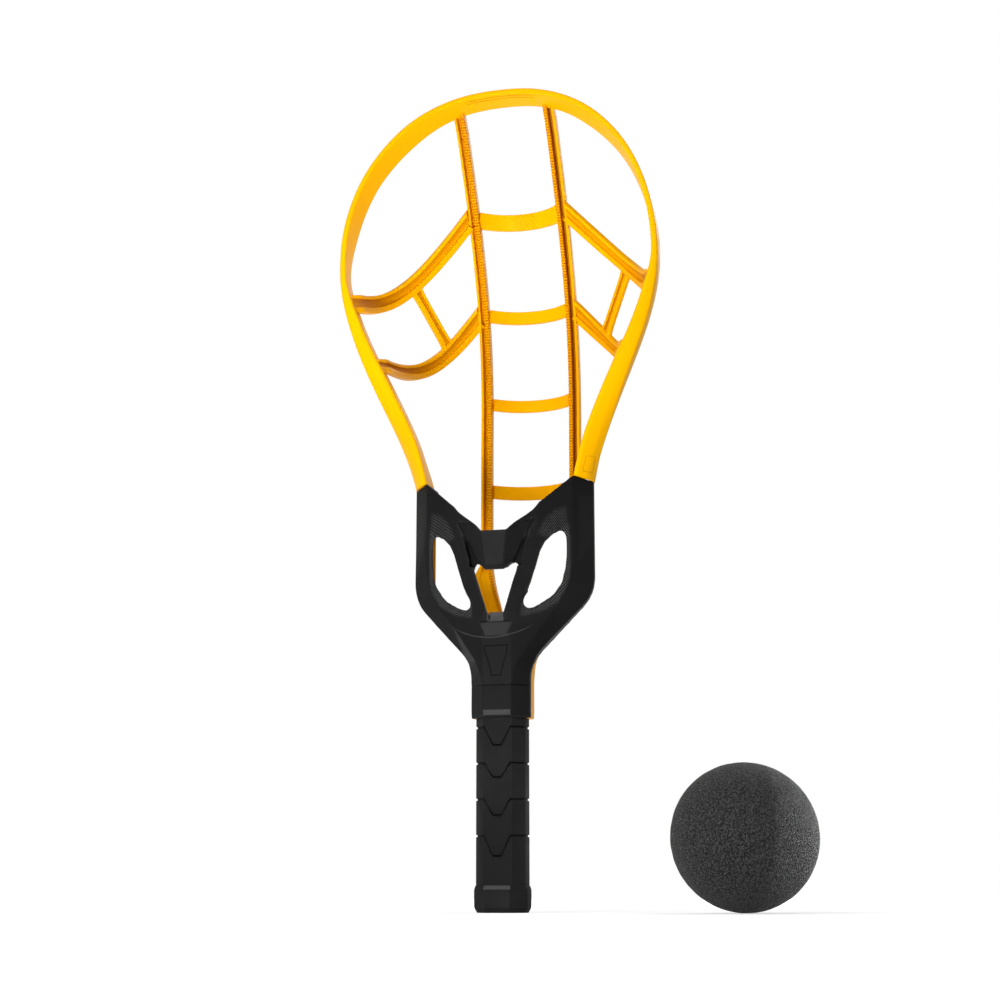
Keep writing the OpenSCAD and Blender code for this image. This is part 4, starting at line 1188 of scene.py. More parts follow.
    def slit_points(self, k: Array, corners: Array) -> Array:
        """Points of the shallow slits in the band's inner face, from its back edge to its front.

        Each slit lies a set distance behind the front edge and sinks away from the inside, fading
        out beyond a set distance from the middle.
        """
        start, end = corners[:, 6], corners[:, 5]
        along = unit(end - start)
        x = np.abs(self.rim(k)[:, 0])
        found = []
        for place, reach in reversed(self.slits):
            fade = 1 - smooth_step(reach - 2, reach, x)
            for step, sink in self.slit_profile:
                sunk = np.stack([fade * sink * self.slit_depth, 0 * fade], 1)
                found.append(start + along * (place + step) - sunk)
        return np.stack(found, 1)

    def build(self, finishes: Finishes) -> bpy.types.Object:
        """Sweeps the section round the rim on both sides and dresses it."""
        k = np.concatenate([np.linspace(0, 0.1, self.end_rings)[:-1], np.linspace(0.1, 2, self.rings)])
        base, inward, section = self.rim(k), self.inward(k), self.section(k)
        # Painted shade: the crown's slits and the channel floor on the back get the groove mark.
        fade = 1 - smooth_step(21, 26, np.abs(base[:, 0]))
        sunk = np.outer((k > 1.5) * fade, [0, 1, 1, 0] * len(self.slits)) * self.slit_mark
        open_back = np.outer(1 - smooth_step(1.2, 1.5, k), np.repeat([0, 0, 1, 1, 0, 0], 4))
        open_back = open_back * self.channel_mark
        marks = np.concatenate([open_back, sunk, np.zeros((len(k), 16))], 1)
        flat = base[:, None] + section[..., :1] * inward[:, None]
        half = np.stack([flat[..., 0], section[..., 1], flat[..., 1]], 2)
        other = half[-2::-1] * np.array([-1, 1, 1])
        piece = skin("hoop", [np.concatenate([half, other])], 40,
                     [np.concatenate([marks, marks[-2::-1]])])
        return settle(piece, Body.RACKET, Slot.YELLOW, finishes.hoop,
                      "hoop_left", "hoop_crown", "hoop_right")


# ---------------------------------------------------------------- ball track


@dataclass
class Track:
    """Two grooved rails with a toothed inner flange, their feet, and four hollow rungs."""

    hoop: Hoop
    track_w: float = 63.0
    track_back: float = 69.5
    rail_w: float = 7.4
    rail_d: float = 6.5
    rail_wall: float = 1.8
    tooth_pitch: float = 1.95
    tooth_h: float = 0.7
    straight_z: float = 320.0
    rail_low_z: float = 238.0
    waist_z: float = 155.2
    shell_back: float = 13.5
    foot_end: float = 0.85
    foot_toothed: float = 0.62
    toothed_w: float = 2.7
    top_reach: float = 4.8
    top_bend: float = 24.0
    bare_top: float = 12.0
    rings_per_tooth: int = 8
    foot_flare: float = 5.4
    flare_z: tuple[float, float] = (180.0, 205.0)
    closing_z: tuple[float, float] = (224.0, 236.0)
    rung_sag: float = 12.0
    rung_t: float = 2.6
    # floor_marks and gap_mark: strength of the painted shade on the channel floor, darker on the right
    # rail, and between the teeth.
    floor_marks: tuple[float, float] = (0.42, 0.7)
    gap_mark: float = 0.26
    rungs: Line = ((476.8, 10.0), (413.6, 8.5), (351.3, 8.5), (289.3, 9.5))
    rung_seat: float = 0.3

    @property
    def rail_x(self) -> float:
        """Distance of a rail's middle from the middle of the racket."""
        return self.track_w / 2

    def rail_line(self) -> Array:
        """Dense course of the front edge of the right rail, in profile, as [x, y, z]."""
        curve = [[-1.5, self.hoop.crown_z - 4], [50, self.hoop.crown_z - 90],
                 [self.track_back + 4, self.straight_z + 88], [self.track_back, self.straight_z]]
        low = np.linspace(self.straight_z, self.rail_low_z, 60)[1:]
        straight = np.column_stack([np.full(len(low), self.track_back), low])
        line = np.concatenate([bezier(curve, np.linspace(0, 1, 400)), straight])
        return np.column_stack([np.full(len(line), self.rail_x), line])

    def foot_line(self, shares: Array) -> Array:
        """Course of the right foot, as [x, y, z]."""
        return bezier([[self.rail_x, self.track_back, self.rail_low_z],
                       [self.rail_x, self.track_back, self.rail_low_z - 30],
                       [self.rail_x - 18, self.track_back, self.waist_z + 36],
                       [8, self.shell_back + 0.5, self.waist_z + 2.8]], shares)

    def rail_rings(self, floor_mark: float) -> tuple[Array, Array]:
        """Rings of the right rail and foot, crown to shell, and how deep each point is in the groove.

        The section is a channel open to the front. Its inner flange rises and falls along the
        course: a tooth's height is the difference of two smooth steps in each pitch. Near the crown
        the course bends forward by a square law, and in the foot the groove closes and the outer
        side flares, each by a smooth step of the height.

        Args:
            floor_mark: Mark of the groove's floor, which sets the strength of its painted shade.

        Returns:
            Rings of shape (rings, points, 3), and marks of shape (rings, points).
        """
        rail = self.rail_line()
        line = np.concatenate([rail, self.foot_line(np.linspace(0, self.foot_end, 200))[1:]])
        near_top = np.clip(1 - (line[0, 2] - line[:, 2]) / self.top_bend, 0, 1)
        line[:, 1] -= self.top_reach * near_top**2
        length = float(np.linalg.norm(np.diff(line, axis=0), axis=1).sum())
        rail_length = float(np.linalg.norm(np.diff(rail, axis=0), axis=1).sum())
        toothed_to = rail_length + self.foot_toothed / self.foot_end * (length - rail_length)
        toothed_from = self.bare_top
        step = self.tooth_pitch / self.rings_per_tooth
        marks = np.concatenate([[2.0, 7.0], np.arange(toothed_from, toothed_to, step),
                                np.linspace(toothed_to + 1, length, 16)])
        place, course = resample(line, marks)
        down = unit(course[:, 1:])
        forward = np.stack([down[:, 1], -down[:, 0]], 1)
        toothed = (marks >= toothed_from) & (marks <= toothed_to)
        phase = ((marks - toothed_from) / self.tooth_pitch) % 1
        tooth = (smooth_step(0.12, 0.34, phase) - smooth_step(0.66, 0.88, phase)) * toothed
        rise = tooth * self.tooth_h
        a, d = self.rail_w / 2, self.rail_d
        b, c, e = a - self.rail_wall, a - self.toothed_w, self.rail_wall - d
        z = place[:, 2]
        closing = 1 - smooth_step(*self.closing_z, z)
        flare = self.foot_flare * closing * smooth_step(*self.flare_z, z)
        across = np.array([-a, a, a, b, b, -c, -c, -a]) + np.outer(flare, [0, 1, 1, 0.6, 0.6, 0, 0, 0])
        level = np.array([-d, -d, 0, 0, e, e, 0, 0]) + np.outer(rise, [0, 0, 0, 0, 0, 0, 1, 1])
        level = level + np.outer(closing * (-0.5 - e), [0, 0, 0, 0, 1, 1, 0, 0])
        corners = np.stack([across, level], 2)
        outline = rounded(corners, [0.6, 0.6, 0.45, 0.35, 0.5, 0.5, 0.3, 0.35], 2)
        # Painted shade on the channel floor and between the teeth; the small amounts added everywhere
        # tint the whole rail a deeper amber.
        gap = (1 - tooth) * toothed * self.gap_mark
        deep = np.outer(1 - closing, [0, 0, 0, 0, 0.32, floor_mark, 0, 0])
        deep = deep + np.outer(gap, [0, 0, 0, 0, 0, 0, 1, 1])
        deep = deep + np.array([0.14, 0.14, 0.05, 0.05, 0, 0, 0.14, 0.14])
        over, out = outline[..., 0], outline[..., 1]
        rings = np.stack([place[:, :1] + over, place[:, 1:2] + out * forward[:, :1],
                          place[:, 2:] + out * forward[:, 1:]], 2)
        rings[0] = self.under_crown(rings[0], course[0])
        return rings, np.repeat(deep, 3, axis=1)

    def under_crown(self, ring: Array, course: Array) -> Array:
        """Slides a ring's points along the rail's course to the middle of the crown's band."""
        k = np.linspace(1.5, 2, 400)
        x, z = self.hoop.rim(k)[::-1].T
        middle = np.interp(ring[:, 0], x, z) - 0.5 * self.hoop.crown_band
        return ring + course * ((middle - ring[:, 2]) / course[2])[:, None]

    def rung_rings(self, top_z: float, height: float) -> Array:
        """Rings of a rung: a strip of rounded rectangular section carried along an arc.

        The arc's middle lies behind its ends, and the strip leans as the rails do at its height.

        Args:
            top_z: Height of its upper edge.
            height: Height of the strip.

        Returns:
            Shape (rings, points, 3).
        """
        half = self.rail_x - self.rail_w / 2 + self.rung_seat
        radius = (half**2 + self.rung_sag**2) / (2 * self.rung_sag)
        line = self.rail_line()
        down = unit(np.gradient(line[:, 1:], axis=0))
        ends = line[:, 1:] - (self.rail_d - 1.3) * np.stack([down[:, 1], -down[:, 0]], 1)
        y = np.interp(-top_z, -ends[:, 1], ends[:, 0])
        slope = np.interp(-top_z, -ends[:, 1], down[:, 0] / -down[:, 1])
        lean = height * slope
        angle = np.linspace(-1, 1, 61) * math.asin(half / radius)
        inner = radius - self.rung_t
        corners = np.array([[inner, 0], [inner + lean, -height], [radius + lean, -height], [radius, 0]])
        outline = rounded(corners[None], 0.7, 3)[0]
        centre = y + self.rung_sag - radius
        return np.stack([np.outer(np.sin(angle), outline[:, 0]),
                         centre + np.outer(np.cos(angle), outline[:, 0]),
                         np.broadcast_to(top_z + outline[:, 1], (len(angle), len(outline)))], 2)

    def build(self, finishes: Finishes) -> list[bpy.types.Object]:
        """Makes and dresses the rails with their feet, and the rungs."""
        made = []
        for side, floor_mark in zip(Side, self.floor_marks):
            word = side.name.lower()
            rings, shade = self.rail_rings(floor_mark)
            piece = skin(f"{word}_rail_and_foot", [rings * [side.value, 1, 1]], 42, [shade])
            made.append(settle(piece, Body.RACKET, Slot.YELLOW, finishes.yellow,
                               f"{word}_rail", f"{word}_rail_foot"))
        for i, (top_z, height) in enumerate(self.rungs):
            material = finishes.knurled if i == 0 else finishes.yellow
            piece = skin(f"rung_strip_{i + 1}", [self.rung_rings(top_z, height)], 50)
            made.append(settle(piece, Body.RACKET, Slot.YELLOW, material, f"rung_{i + 1}"))
        return made


# ---------------------------------------------------------------- side arms


@dataclass
class Arm:
    """One grooved arm: a channel carried along a curve from the hoop back to the rail."""

    curve: Array
    start_up: Array
    end_up: Array
    start_w: float
    end_w: float
    thickness: float = 4.0
    rim: float = 2.2
    floor: float = 1.6

    def frames(self, t: Array) -> tuple[Array, Array, Array, Array]:
        """Places, courses, width directions and thickness directions at shares t of the curve.

        The width direction turns from one end's to the other's, squared up to the course.
        """
        ahead, behind = np.minimum(1, t + 0.01), np.maximum(0, t - 0.01)
        course = unit(bezier(self.curve, ahead) - bezier(self.curve, behind))
        up = lerp(self.start_up, self.end_up, np.minimum(1, 1.6 * t)[:, None])
        across = unit(up - (up * course).sum(1, keepdims=True) * course)
        return bezier(self.curve, t), course, across, np.cross(across, course)

    def rings(self, side_x: float, steps: int = 90) -> Array:
        """Rings of the arm, thin where it leaves the hoop, the last slid onto the rail.

        Args:
            side_x: Distance of the rail's outer side from the middle.
            steps: Number of rings less one.

        Returns:
            Shape (rings, points, 3).
        """
        t = np.linspace(0, 1, steps + 1)
        place, course, across, normal = self.frames(t)
        widths = lerp(self.start_w, self.end_w, t)
        outline = channel_outline(widths, self.thickness, self.rim, self.floor)
        swell = lerp(0.15, 1, smooth_step(0, 0.05, t))[:, None]
        outline[..., 0] = (outline[..., 0] + self.thickness / 2) * swell - self.thickness / 2
        rings = laid_out(outline, place, normal, across)
        shift = (side_x - 0.4 - rings[-1][:, 0]) / course[-1][0]
        rings[-1] = rings[-1] + course[-1] * shift[:, None]
        return rings

    def edge(self, share: float, side: int, sink: float) -> Array:
        """Point on the arm's edge, sunk a little into it."""
        place, _, across, _ = self.frames(np.array([share]))
        return place[0] + side * (lerp(self.start_w, self.end_w, share) / 2 - sink) * across[0]


def laid_out(outline: Array, middle: Array, normal: Array, across: Array) -> Array:
    """Outlines of [thickness, width] carried to their places: middle + n * normal + w * across."""
    return middle[:, None] + outline[..., :1] * normal[:, None] + outline[..., 1:] * across[:, None]


def channel_outline(widths: Array, thickness: float, rim: float, floor: float) -> Array:
    """Rounded outline of a strip with a groove in its front, as [thickness, width] from its middle.

    The lower rim is 1.8 times as wide as the upper one.

    Args:
        widths: Width at each ring.
        thickness: Thickness of the strip.
        rim: Width of the rims beside the groove.
        floor: Thickness under the groove.

    Returns:
        Shape (rings, points, 2).
    """
    a, one = widths / 2, np.ones_like(widths)
    b, g = thickness / 2, floor - thickness / 2
    n = np.stack([-b * one, b * one, b * one, g * one, g * one, b * one, b * one, -b * one], 1)
    v = np.stack([-a, -a, 1.8 * rim - a, 1.8 * rim - a, a - rim, a - rim, a, a], 1)
    return rounded(np.stack([n, v], 2), [0.7, 0.6, 0.5, 0.7, 0.7, 0.5, 0.6, 0.7], 3)


@dataclass
class SideArms:
    """Upper and lower arms on both sides, and the link between them."""

    hoop: Hoop
    track: Track
    upper_k: float = 0.855
    lower_k: float = 0.543
    upper_w: float = 12.5
    lower_w: float = 11.0
    arm_t: float = 4.0
    seat: float = -0.15
    link_w: float = 8.0
    link_t: float = 3.0
    link_rim: float = 2.0
    link_floor: float = 1.4
    link_sink: float = 0.5
    link_flare: float = 1.6
    link_top: tuple[float, float] = (0.495, 0.6)
    link_low: tuple[float, float] = (0.655, 0.765)
    # Groove marks at the outline's corners: painted shade on the channel floor, strongest beside the
    # upper rim, where its shadow falls.
    corner_marks: tuple[float, ...] = (0.05, 0.05, 0.05, 0.2, 0.46, 0.05, 0, 0.05)

    def start(self, k: float, y: float) -> Array:
        """Where an arm's middle line begins, beside the hoop's inner face."""
        key = np.array([k])
        inset = self.hoop.width(key)[0] + self.seat + self.arm_t / 2
        flat = self.hoop.rim(key)[0] + inset * self.hoop.inward(key)[0]
        return np.array([flat[0], y, flat[1]])

    def arms(self) -> tuple[Arm, Arm]:
        """The upper and the lower arm of the right side."""
        rail_side = self.track.rail_x + self.track.rail_w / 2
        forms = []
        for k, y, end, lead, tail, lean, widths in (
                (self.upper_k, -16.0, [rail_side, 37.0, 470.0], [-3, 62, 11], [38, 12, -38],
                 [0, -9, 10], (self.upper_w, self.upper_w - 1)),
                (self.lower_k, -13.0, [rail_side, 63.0, 407.0], [-1.5, 74, 3], [26, 6, -27],
                 [0, -6.3, 10], (self.lower_w - 1, self.lower_w + 1))):
            first, last = self.start(k, y), np.array(end)
            d = self.hoop.course(np.array([k]))[0]
            forms.append(Arm(np.array([first, first + lead, last + tail, last]),
                             np.array([d[0], 0, d[1]]), unit(np.array(lean, float)), *widths,
                             thickness=self.arm_t))
        return forms[0], forms[1]

    def link_rings(self, upper: Arm, lower: Arm, steps: int = 24) -> Array:
        """Rings of the link, from the upper arm's lower edge to the lower arm's upper edge.

        Its width direction turns from one arm's edge to the other's, its thickness direction is
        squared up to it, and its width flares at both ends as exp(-distance / 0.07).
        """
        seats = []
        for arm, (a, b), side in ((upper, self.link_top, -1), (lower, self.link_low, 1)):
            ends = [arm.edge(share, side, self.link_sink) for share in (a, b)]
            normal = arm.frames(np.array([(a + b) / 2]))[3][0]
            seats.append(((ends[0] + ends[1]) / 2, unit(ends[1] - ends[0]), normal))
        t = np.linspace(0, 1, steps + 1)[:, None]
        middle = lerp(seats[0][0], seats[1][0], t)
        across = unit(lerp(seats[0][1], seats[1][1], t))
        normal = lerp(seats[0][2], seats[1][2], t)
        normal = unit(normal - (normal * across).sum(1, keepdims=True) * across)
        share = t[:, 0]
        flare = self.link_flare * (np.exp(-share / 0.07) + np.exp(-(1 - share) / 0.07))
        outline = channel_outline(self.link_w + flare, self.link_t, self.link_rim, self.link_floor)
        return laid_out(outline, middle, normal, across)

    def build(self, finishes: Finishes) -> list[bpy.types.Object]:
        """Makes and dresses the arms and links of both sides."""
        made = []
        upper, lower = self.arms()
        marks = np.repeat(self.corner_marks, 4)
        side_x = self.track.rail_x + self.track.rail_w / 2
        stacks = {"upper_arm": upper.rings(side_x), "lower_arm": lower.rings(side_x),
                  "arm_link": self.link_rings(upper, lower)}
        for side in Side:
            for name, rings in stacks.items():
                word = side.name.lower()
                shade = np.broadcast_to(marks, rings.shape[:2])
                piece = skin(f"{word}_{name}_channel", [rings * [side.value, 1, 1]], 45, [shade])
                made.append(settle(piece, Body.RACKET, Slot.YELLOW, finishes.yellow, f"{word}_{name}"))
        return made


# ---------------------------------------------------------------- yoke and handle


@dataclass
class Yoke:
    """Black front yoke with its carving and sill, and the yellow legs and rear shell behind it."""

    shoulder_x: float = 60.0
    shoulder_z: float = 272.0
    voxel: float = 0.66
    passes: int = 4
    bevel: float = 0.4
    shell_reach: float = 3.9
    leg_trim: float = 1.6
    sill_half: float = 5.2
    sill_z: tuple[float, float] = (181.3, 187.2)
    sill_y: tuple[float, float] = (-13.6, -5.0)
    soft_share: float = 0.6
    head_rounds: int = 110
    head_reach: tuple[float, float] = (5.0, 10.0)
    rim_rounds: int = 100
    rim_reach: tuple[float, float] = (3.5, 7.0)
    over_share: float = 0.55
    side_share: float = 0.14
    side_x: float = 52.0
    side_z: tuple[float, float] = (208.0, 262.0)
    groove_heads: Line = ((25.5, 247.0), (22.0, 241.0))
    eye_rim: Line = ((45.5, 241), (45, 233), (44.5, 226), (43, 216), (40, 208), (34, 199), (26, 194),
                     (17.5, 190.5))
    upper_panel: Line = ((27.5, 236), (32, 245.5), (37.5, 251.5), (45, 254), (45.6, 244), (44.6, 229.5))
    dish: Line = ((-19.5, 35.4), (-13.5, 30), (-13.2, 45), (-13.2, 59), (-14.8, 70), (-21, 80.6),
                  (-31.5, 86.8), (-43.8, 89.6), (-43.4, 81.5), (-38.1, 69.3), (-34.5, 57.7),
                  (-31.8, 48.3), (-28.7, 42.1), (-23.7, 37.1))
    dish_rise: float = 1.4

    def draw_in(self, shell: bpy.types.Object) -> None:
        """Draws the shell's flanks in behind the yoke, a little at the collar and more above it.

        The full reach applies to the outermost points, and less further in.
        """
        places, _, _ = read_points(shell.data)
        x, z = places[:, 0] / MM, places[:, 2] / MM
        share = smooth_step(6, 18, np.abs(x)) * lerp(0.2, 0.8, smooth_step(147, 164, z))
        places[:, 0] -= np.sign(x) * share * self.shell_reach * MM
        write_places(shell.data, places)

    def trim_inside(self, leg: bpy.types.Object) -> None:
        """Takes a leg's inner side back behind the eye's rim, by how much a point faces inwards."""
        places, normals, _ = read_points(leg.data)
        outward = np.sign(places[:, 0])
        places[:, 0] += outward * self.leg_trim * MM * smooth_step(0.2, 0.7, -outward * normals[:, 0])
        write_places(leg.data, places)

    def sill(self) -> bpy.types.Object:
        """Small rounded block that closes the foot of the window between the eyes."""
        (low, high), (front, back), half = self.sill_z, self.sill_y, self.sill_half
        corners = np.array([[[-half, low], [half, low], [half, high], [-half, high]]])
        outline = rounded(corners, 0.6, 3)[0]
        centre = np.array([0, (low + high) / 2])
        rings = []
        for y, share in ((back, 1.0), (front + 0.5, 1.0), (front, 0.93)):
            flat = centre + (outline - centre) * share
            rings.append(np.column_stack([flat[:, 0], np.full(len(flat), y), flat[:, 1]]))
        return skin("yoke_sill", [np.stack(rings)], 30)

    def dish_outline(self) -> Array:
        """Outline of the dish round the right eye, as [x, z] in mm."""
        p = np.array(self.dish)
        return np.column_stack([self.shoulder_x + p[:, 0], self.shoulder_z + self.dish_rise - p[:, 1]])

    def inside(self, x: Array, z: Array, outline: Array) -> Array:
        """Whether a line to the right of each point crosses the outline an odd number of times."""
        odd = np.zeros(len(x), bool)
        for (x0, z0), (x1, z1) in zip(outline, np.roll(outline, -1, 0)):
            if z0 != z1:
                crosses = (z0 > z) != (z1 > z)
                odd ^= crosses & (x < x0 + (z - z0) / (z1 - z0) * (x1 - x0))
        return odd

    def distance_to(self, x: Array, z: Array, course: Line) -> Array:
        """Distance of points from a broken line of [x, z] points, all in mm.

        The foot of the perpendicular on each stretch is held between the stretch's ends.
        """
        least = np.full(len(x), np.inf)
        for (x0, z0), (x1, z1) in zip(course, course[1:]):
            dx, dz = x1 - x0, z1 - z0
            t = np.clip(((x - x0) * dx + (z - z0) * dz) / (dx**2 + dz**2), 0, 1)
            least = np.minimum(least, np.hypot(x - x0 - t * dx, z - z0 - t * dz))
        return least

    def soften(self, piece: bpy.types.Object) -> None:
        """Lets the grooves beside the nose run out softly, and evens out the thin rims of the eyes.

        A point moves towards its neighbours' mean by a share that falls off smoothly with its
        distance from a groove's head or a rim, many times over.
        """
        places, _, edges = read_points(piece.data)
        x, z = np.abs(places[:, 0]) / MM, places[:, 2] / MM
        head = 1 - smooth_step(*self.head_reach, self.distance_to(x, z, self.groove_heads))
        rim = 1 - smooth_step(*self.rim_reach, self.distance_to(x, z, self.eye_rim))
        for near, rounds in ((head * (places[:, 1] < 0), self.head_rounds), (rim, self.rim_rounds)):
            share = (near * self.soft_share)[:, None]
            for _ in range(rounds):
                places = places + share * (neighbour_mean(places, edges) - places)
        write_places(piece.data, places)

    def mark_panels(self, piece: bpy.types.Object) -> None:
        """Writes the point attribute that is 1 on the dotted panels.

        These are the dishes round the eyes, the panels over them and the outer side faces. The mark
        is then averaged with the neighbours' to soften its edge.
        """
        places, normals, edges = read_points(piece.data)
        x, z = np.abs(places[:, 0]) / MM, places[:, 2] / MM
        front = normals[:, 1] < -0.25
        dish = front & self.inside(x, z, self.dish_outline())
        over = front & self.inside(x, z, np.array(self.upper_panel))
        side = (np.abs(normals[:, 0]) > 0.7) & (x > self.side_x)
        side = side & (z > self.side_z[0]) & (z < self.side_z[1])
        soft = np.maximum(np.maximum(dish, self.over_share * over), self.side_share * side)[:, None]
        for _ in range(3):
            soft = neighbour_mean(soft, edges)
        write_marks(piece.data, "dotted_panel", soft[:, 0])

    def build(self, finishes: Finishes) -> list[bpy.types.Object]:
        """Makes and dresses the yoke with its sill, the rear shell and the legs."""
        yoke = remoulded("front_yoke", "yoke_moulding", self.voxel, self.passes)
        self.soften(yoke)
        self.mark_panels(yoke)
        made = [settle(yoke, Body.RACKET, Slot.YOKE, finishes.yoke, "front_yoke")]
        # The sill's front takes the black finish's painted highlight.
        made.append(settle(self.sill(), Body.RACKET, Slot.YOKE, finishes.yoke))
        for node, fit in (("rear_shell", self.draw_in), ("left_leg", self.trim_inside),
                          ("right_leg", self.trim_inside)):
            piece = refined(node, node + "_moulding", self.bevel)
            fit(piece)
            made.append(settle(piece, Body.RACKET, Slot.YELLOW, finishes.yellow, node))
        return made


@dataclass
class Screws:
    """Pan-head screws with a cross recess, which hold the rear shell and the legs."""

    head_r: float = 3.0
    head_h: float = 1.8
    shank_r: float = 1.4
    points: int = 64
    slot_depth: float = 1.0
    slot_half: tuple[float, float] = (0.3, 0.5)
    slot_reach: tuple[float, float] = (1.2, 1.8)
    places: tuple[tuple[float, float, float, float], ...] = (
        (0.0, 2.0, 131.0, 10.0), (22.0, 3.7, 167.7, 10.0), (-22.0, 3.7, 167.7, 10.0),
        (52.8, 8.0, 240.0, 9.0), (-52.8, 8.0, 240.0, 9.0))

    def one(self, x: float, y: float, z: float, shank: float) -> Array:
        """Rings of one screw from the middle of its head down the shank.

        Ring radius and height follow the profile. On the head's top the surface sinks inside a
        cross: where the smaller of |u| and |v| is under the slot's half width.
        """
        t = np.linspace(0, 1, 15)
        top_r = self.head_r * t
        top_h = self.head_h * (1 - 0.3 * t**2.5)
        lower_r = [self.head_r, self.head_r - 0.1, self.shank_r, self.shank_r, 0.6]
        radius = np.concatenate([top_r, lower_r])
        height = np.concatenate([top_h, [0.25, 0, 0, -shank + 1.2, -shank]])
        radius[0] = 0.02
        angle = np.arange(self.points) / self.points * 2 * math.pi
        u, v = radius[:, None] * np.cos(angle), radius[:, None] * np.sin(angle)
        near, far = np.minimum(np.abs(u), np.abs(v)), np.maximum(np.abs(u), np.abs(v))
        slot = (1 - smooth_step(*self.slot_half, near)) * (1 - smooth_step(*self.slot_reach, far))
        sink = self.slot_depth * slot
        sink[len(top_r):] = 0
        return np.stack([x + u, y + height[:, None] - sink, z + v], 2)

    def build(self, finishes: Finishes) -> bpy.types.Object:
        """Makes and dresses the five screws as one set."""
        piece = skin("screw_set", [self.one(*place) for place in self.places], 40)
        return settle(piece, Body.RACKET, Slot.STEEL, finishes.steel, "shell_screws")


@dataclass
class Handle:
    """Grip sleeve with its rings and chevrons, the end cap, and the tang inside them."""

    bevel: float = 0.38
    edge_deg: float = 25.0

    def build(self, finishes: Finishes) -> list[bpy.types.Object]:
        """Makes and dresses the sleeve and the cap, and dresses the tang."""
        made = []
        for node in ("grip_sleeve", "end_cap"):
            piece = refined(node, node + "_moulding", self.bevel, self.edge_deg)
            made.append(settle(piece, Body.RACKET, Slot.GRIP, finishes.grip, node))
        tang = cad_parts["handle_tang"]
        tang.data.materials.clear()
        tang.data.materials.append(finishes.yellow)
        log.info("handle_tang: CAD node in %s", finishes.yellow.name)
        return made


# ---------------------------------------------------------------- ball


@dataclass
class Ball:
    """Foam ball with a slightly uneven leathery skin."""

    middle: Point = (153.0, -4.0, 45.0)
    radius: float = 45.0
    cuts: int = 72
    waves: int = 90
    unevenness: float = 0.16
    seed: int = 11

    def directions(self) -> Array:
        """Unit directions on six grids, each bent from a cube's face onto the ball.

        Grid lines are spaced by equal angles, tan(a) for a from -45 to 45 degrees.
        """
        a = np.tan(np.linspace(-math.pi / 4, math.pi / 4, self.cuts + 1))
        u, v = (g.ravel() for g in np.meshgrid(a, a, indexing="ij"))
        one = np.ones_like(u)
        faces = ((u, v, one), (v, u, -one), (one, u, v), (-one, v, u), (v, one, u), (u, -one, v))
        return unit(np.stack([np.stack(face, 1) for face in faces]))

    def dents(self, d: Array) -> Array:
        """Depth of the unevenness from 0 to 1: a mean of sine waves in scattered directions."""
        rng = np.random.default_rng(self.seed)
        turn = unit(rng.normal(size=(self.waves, 3))) * rng.uniform(14, 60, (self.waves, 1))
        phase = rng.uniform(0, 2 * math.pi, self.waves)
        total = np.sin(d @ turn.T + phase).sum(1) / math.sqrt(self.waves)
        return 0.5 + 0.5 * np.tanh(total)

    def build(self, finishes: Finishes) -> bpy.types.Object:
        """Makes and dresses the ball."""
        n = self.cuts + 1
        d = self.directions().reshape(-1, 3)
        reach = self.radius - self.unevenness * self.dents(d)
        points = (np.array(self.middle) + d * reach[:, None]) * MM
        i, j = (g.ravel() for g in np.meshgrid(np.arange(n - 1), np.arange(n - 1), indexing="ij"))
        quad = np.stack([i * n + j, (i + 1) * n + j, (i + 1) * n + j + 1, i * n + j + 1], 1)
        quads = np.concatenate([quad + face * n * n for face in range(6)])
        mesh = bpy.data.meshes.new("foam_ball_skin")
        mesh.from_pydata(points, [], quads.tolist())
        face_outward(mesh, JOIN_REACH / 2)
        finish_mesh(mesh, 60)
        piece = make_object("foam_ball_skin", mesh)
        settle(piece, Body.BALL, Slot.FOAM, finishes.foam, "foam_ball")
        return piece


# ---------------------------------------------------------------- studio


@dataclass(frozen=True)
class Lamp:
    """A square lamp, or a spot where it has a cone in degrees. Metres and watts."""

    name: str
    place: Point
    aim: Point
    size: float
    power: float
    cone: float = 0.0
    soft_edge: float = 0.5

    def hang(self) -> None:
        """Makes the lamp and turns its -Z axis to its aim."""
        data = bpy.data.lights.new(self.name, "SPOT" if self.cone else "AREA")
        data.energy = self.power
        if self.cone:
            data.spot_size, data.spot_blend = math.radians(self.cone), self.soft_edge
            data.shadow_soft_size = self.size
        else:
            data.size = self.size
        lamp = make_object(self.name, data)
        course = np.array(self.aim) - np.array(self.place)
        lamp.location = self.place
        turn = math.atan2(course[1], course[0]) - math.pi / 2
        lamp.rotation_euler = (math.acos(-unit(course)[2]), 0, turn)


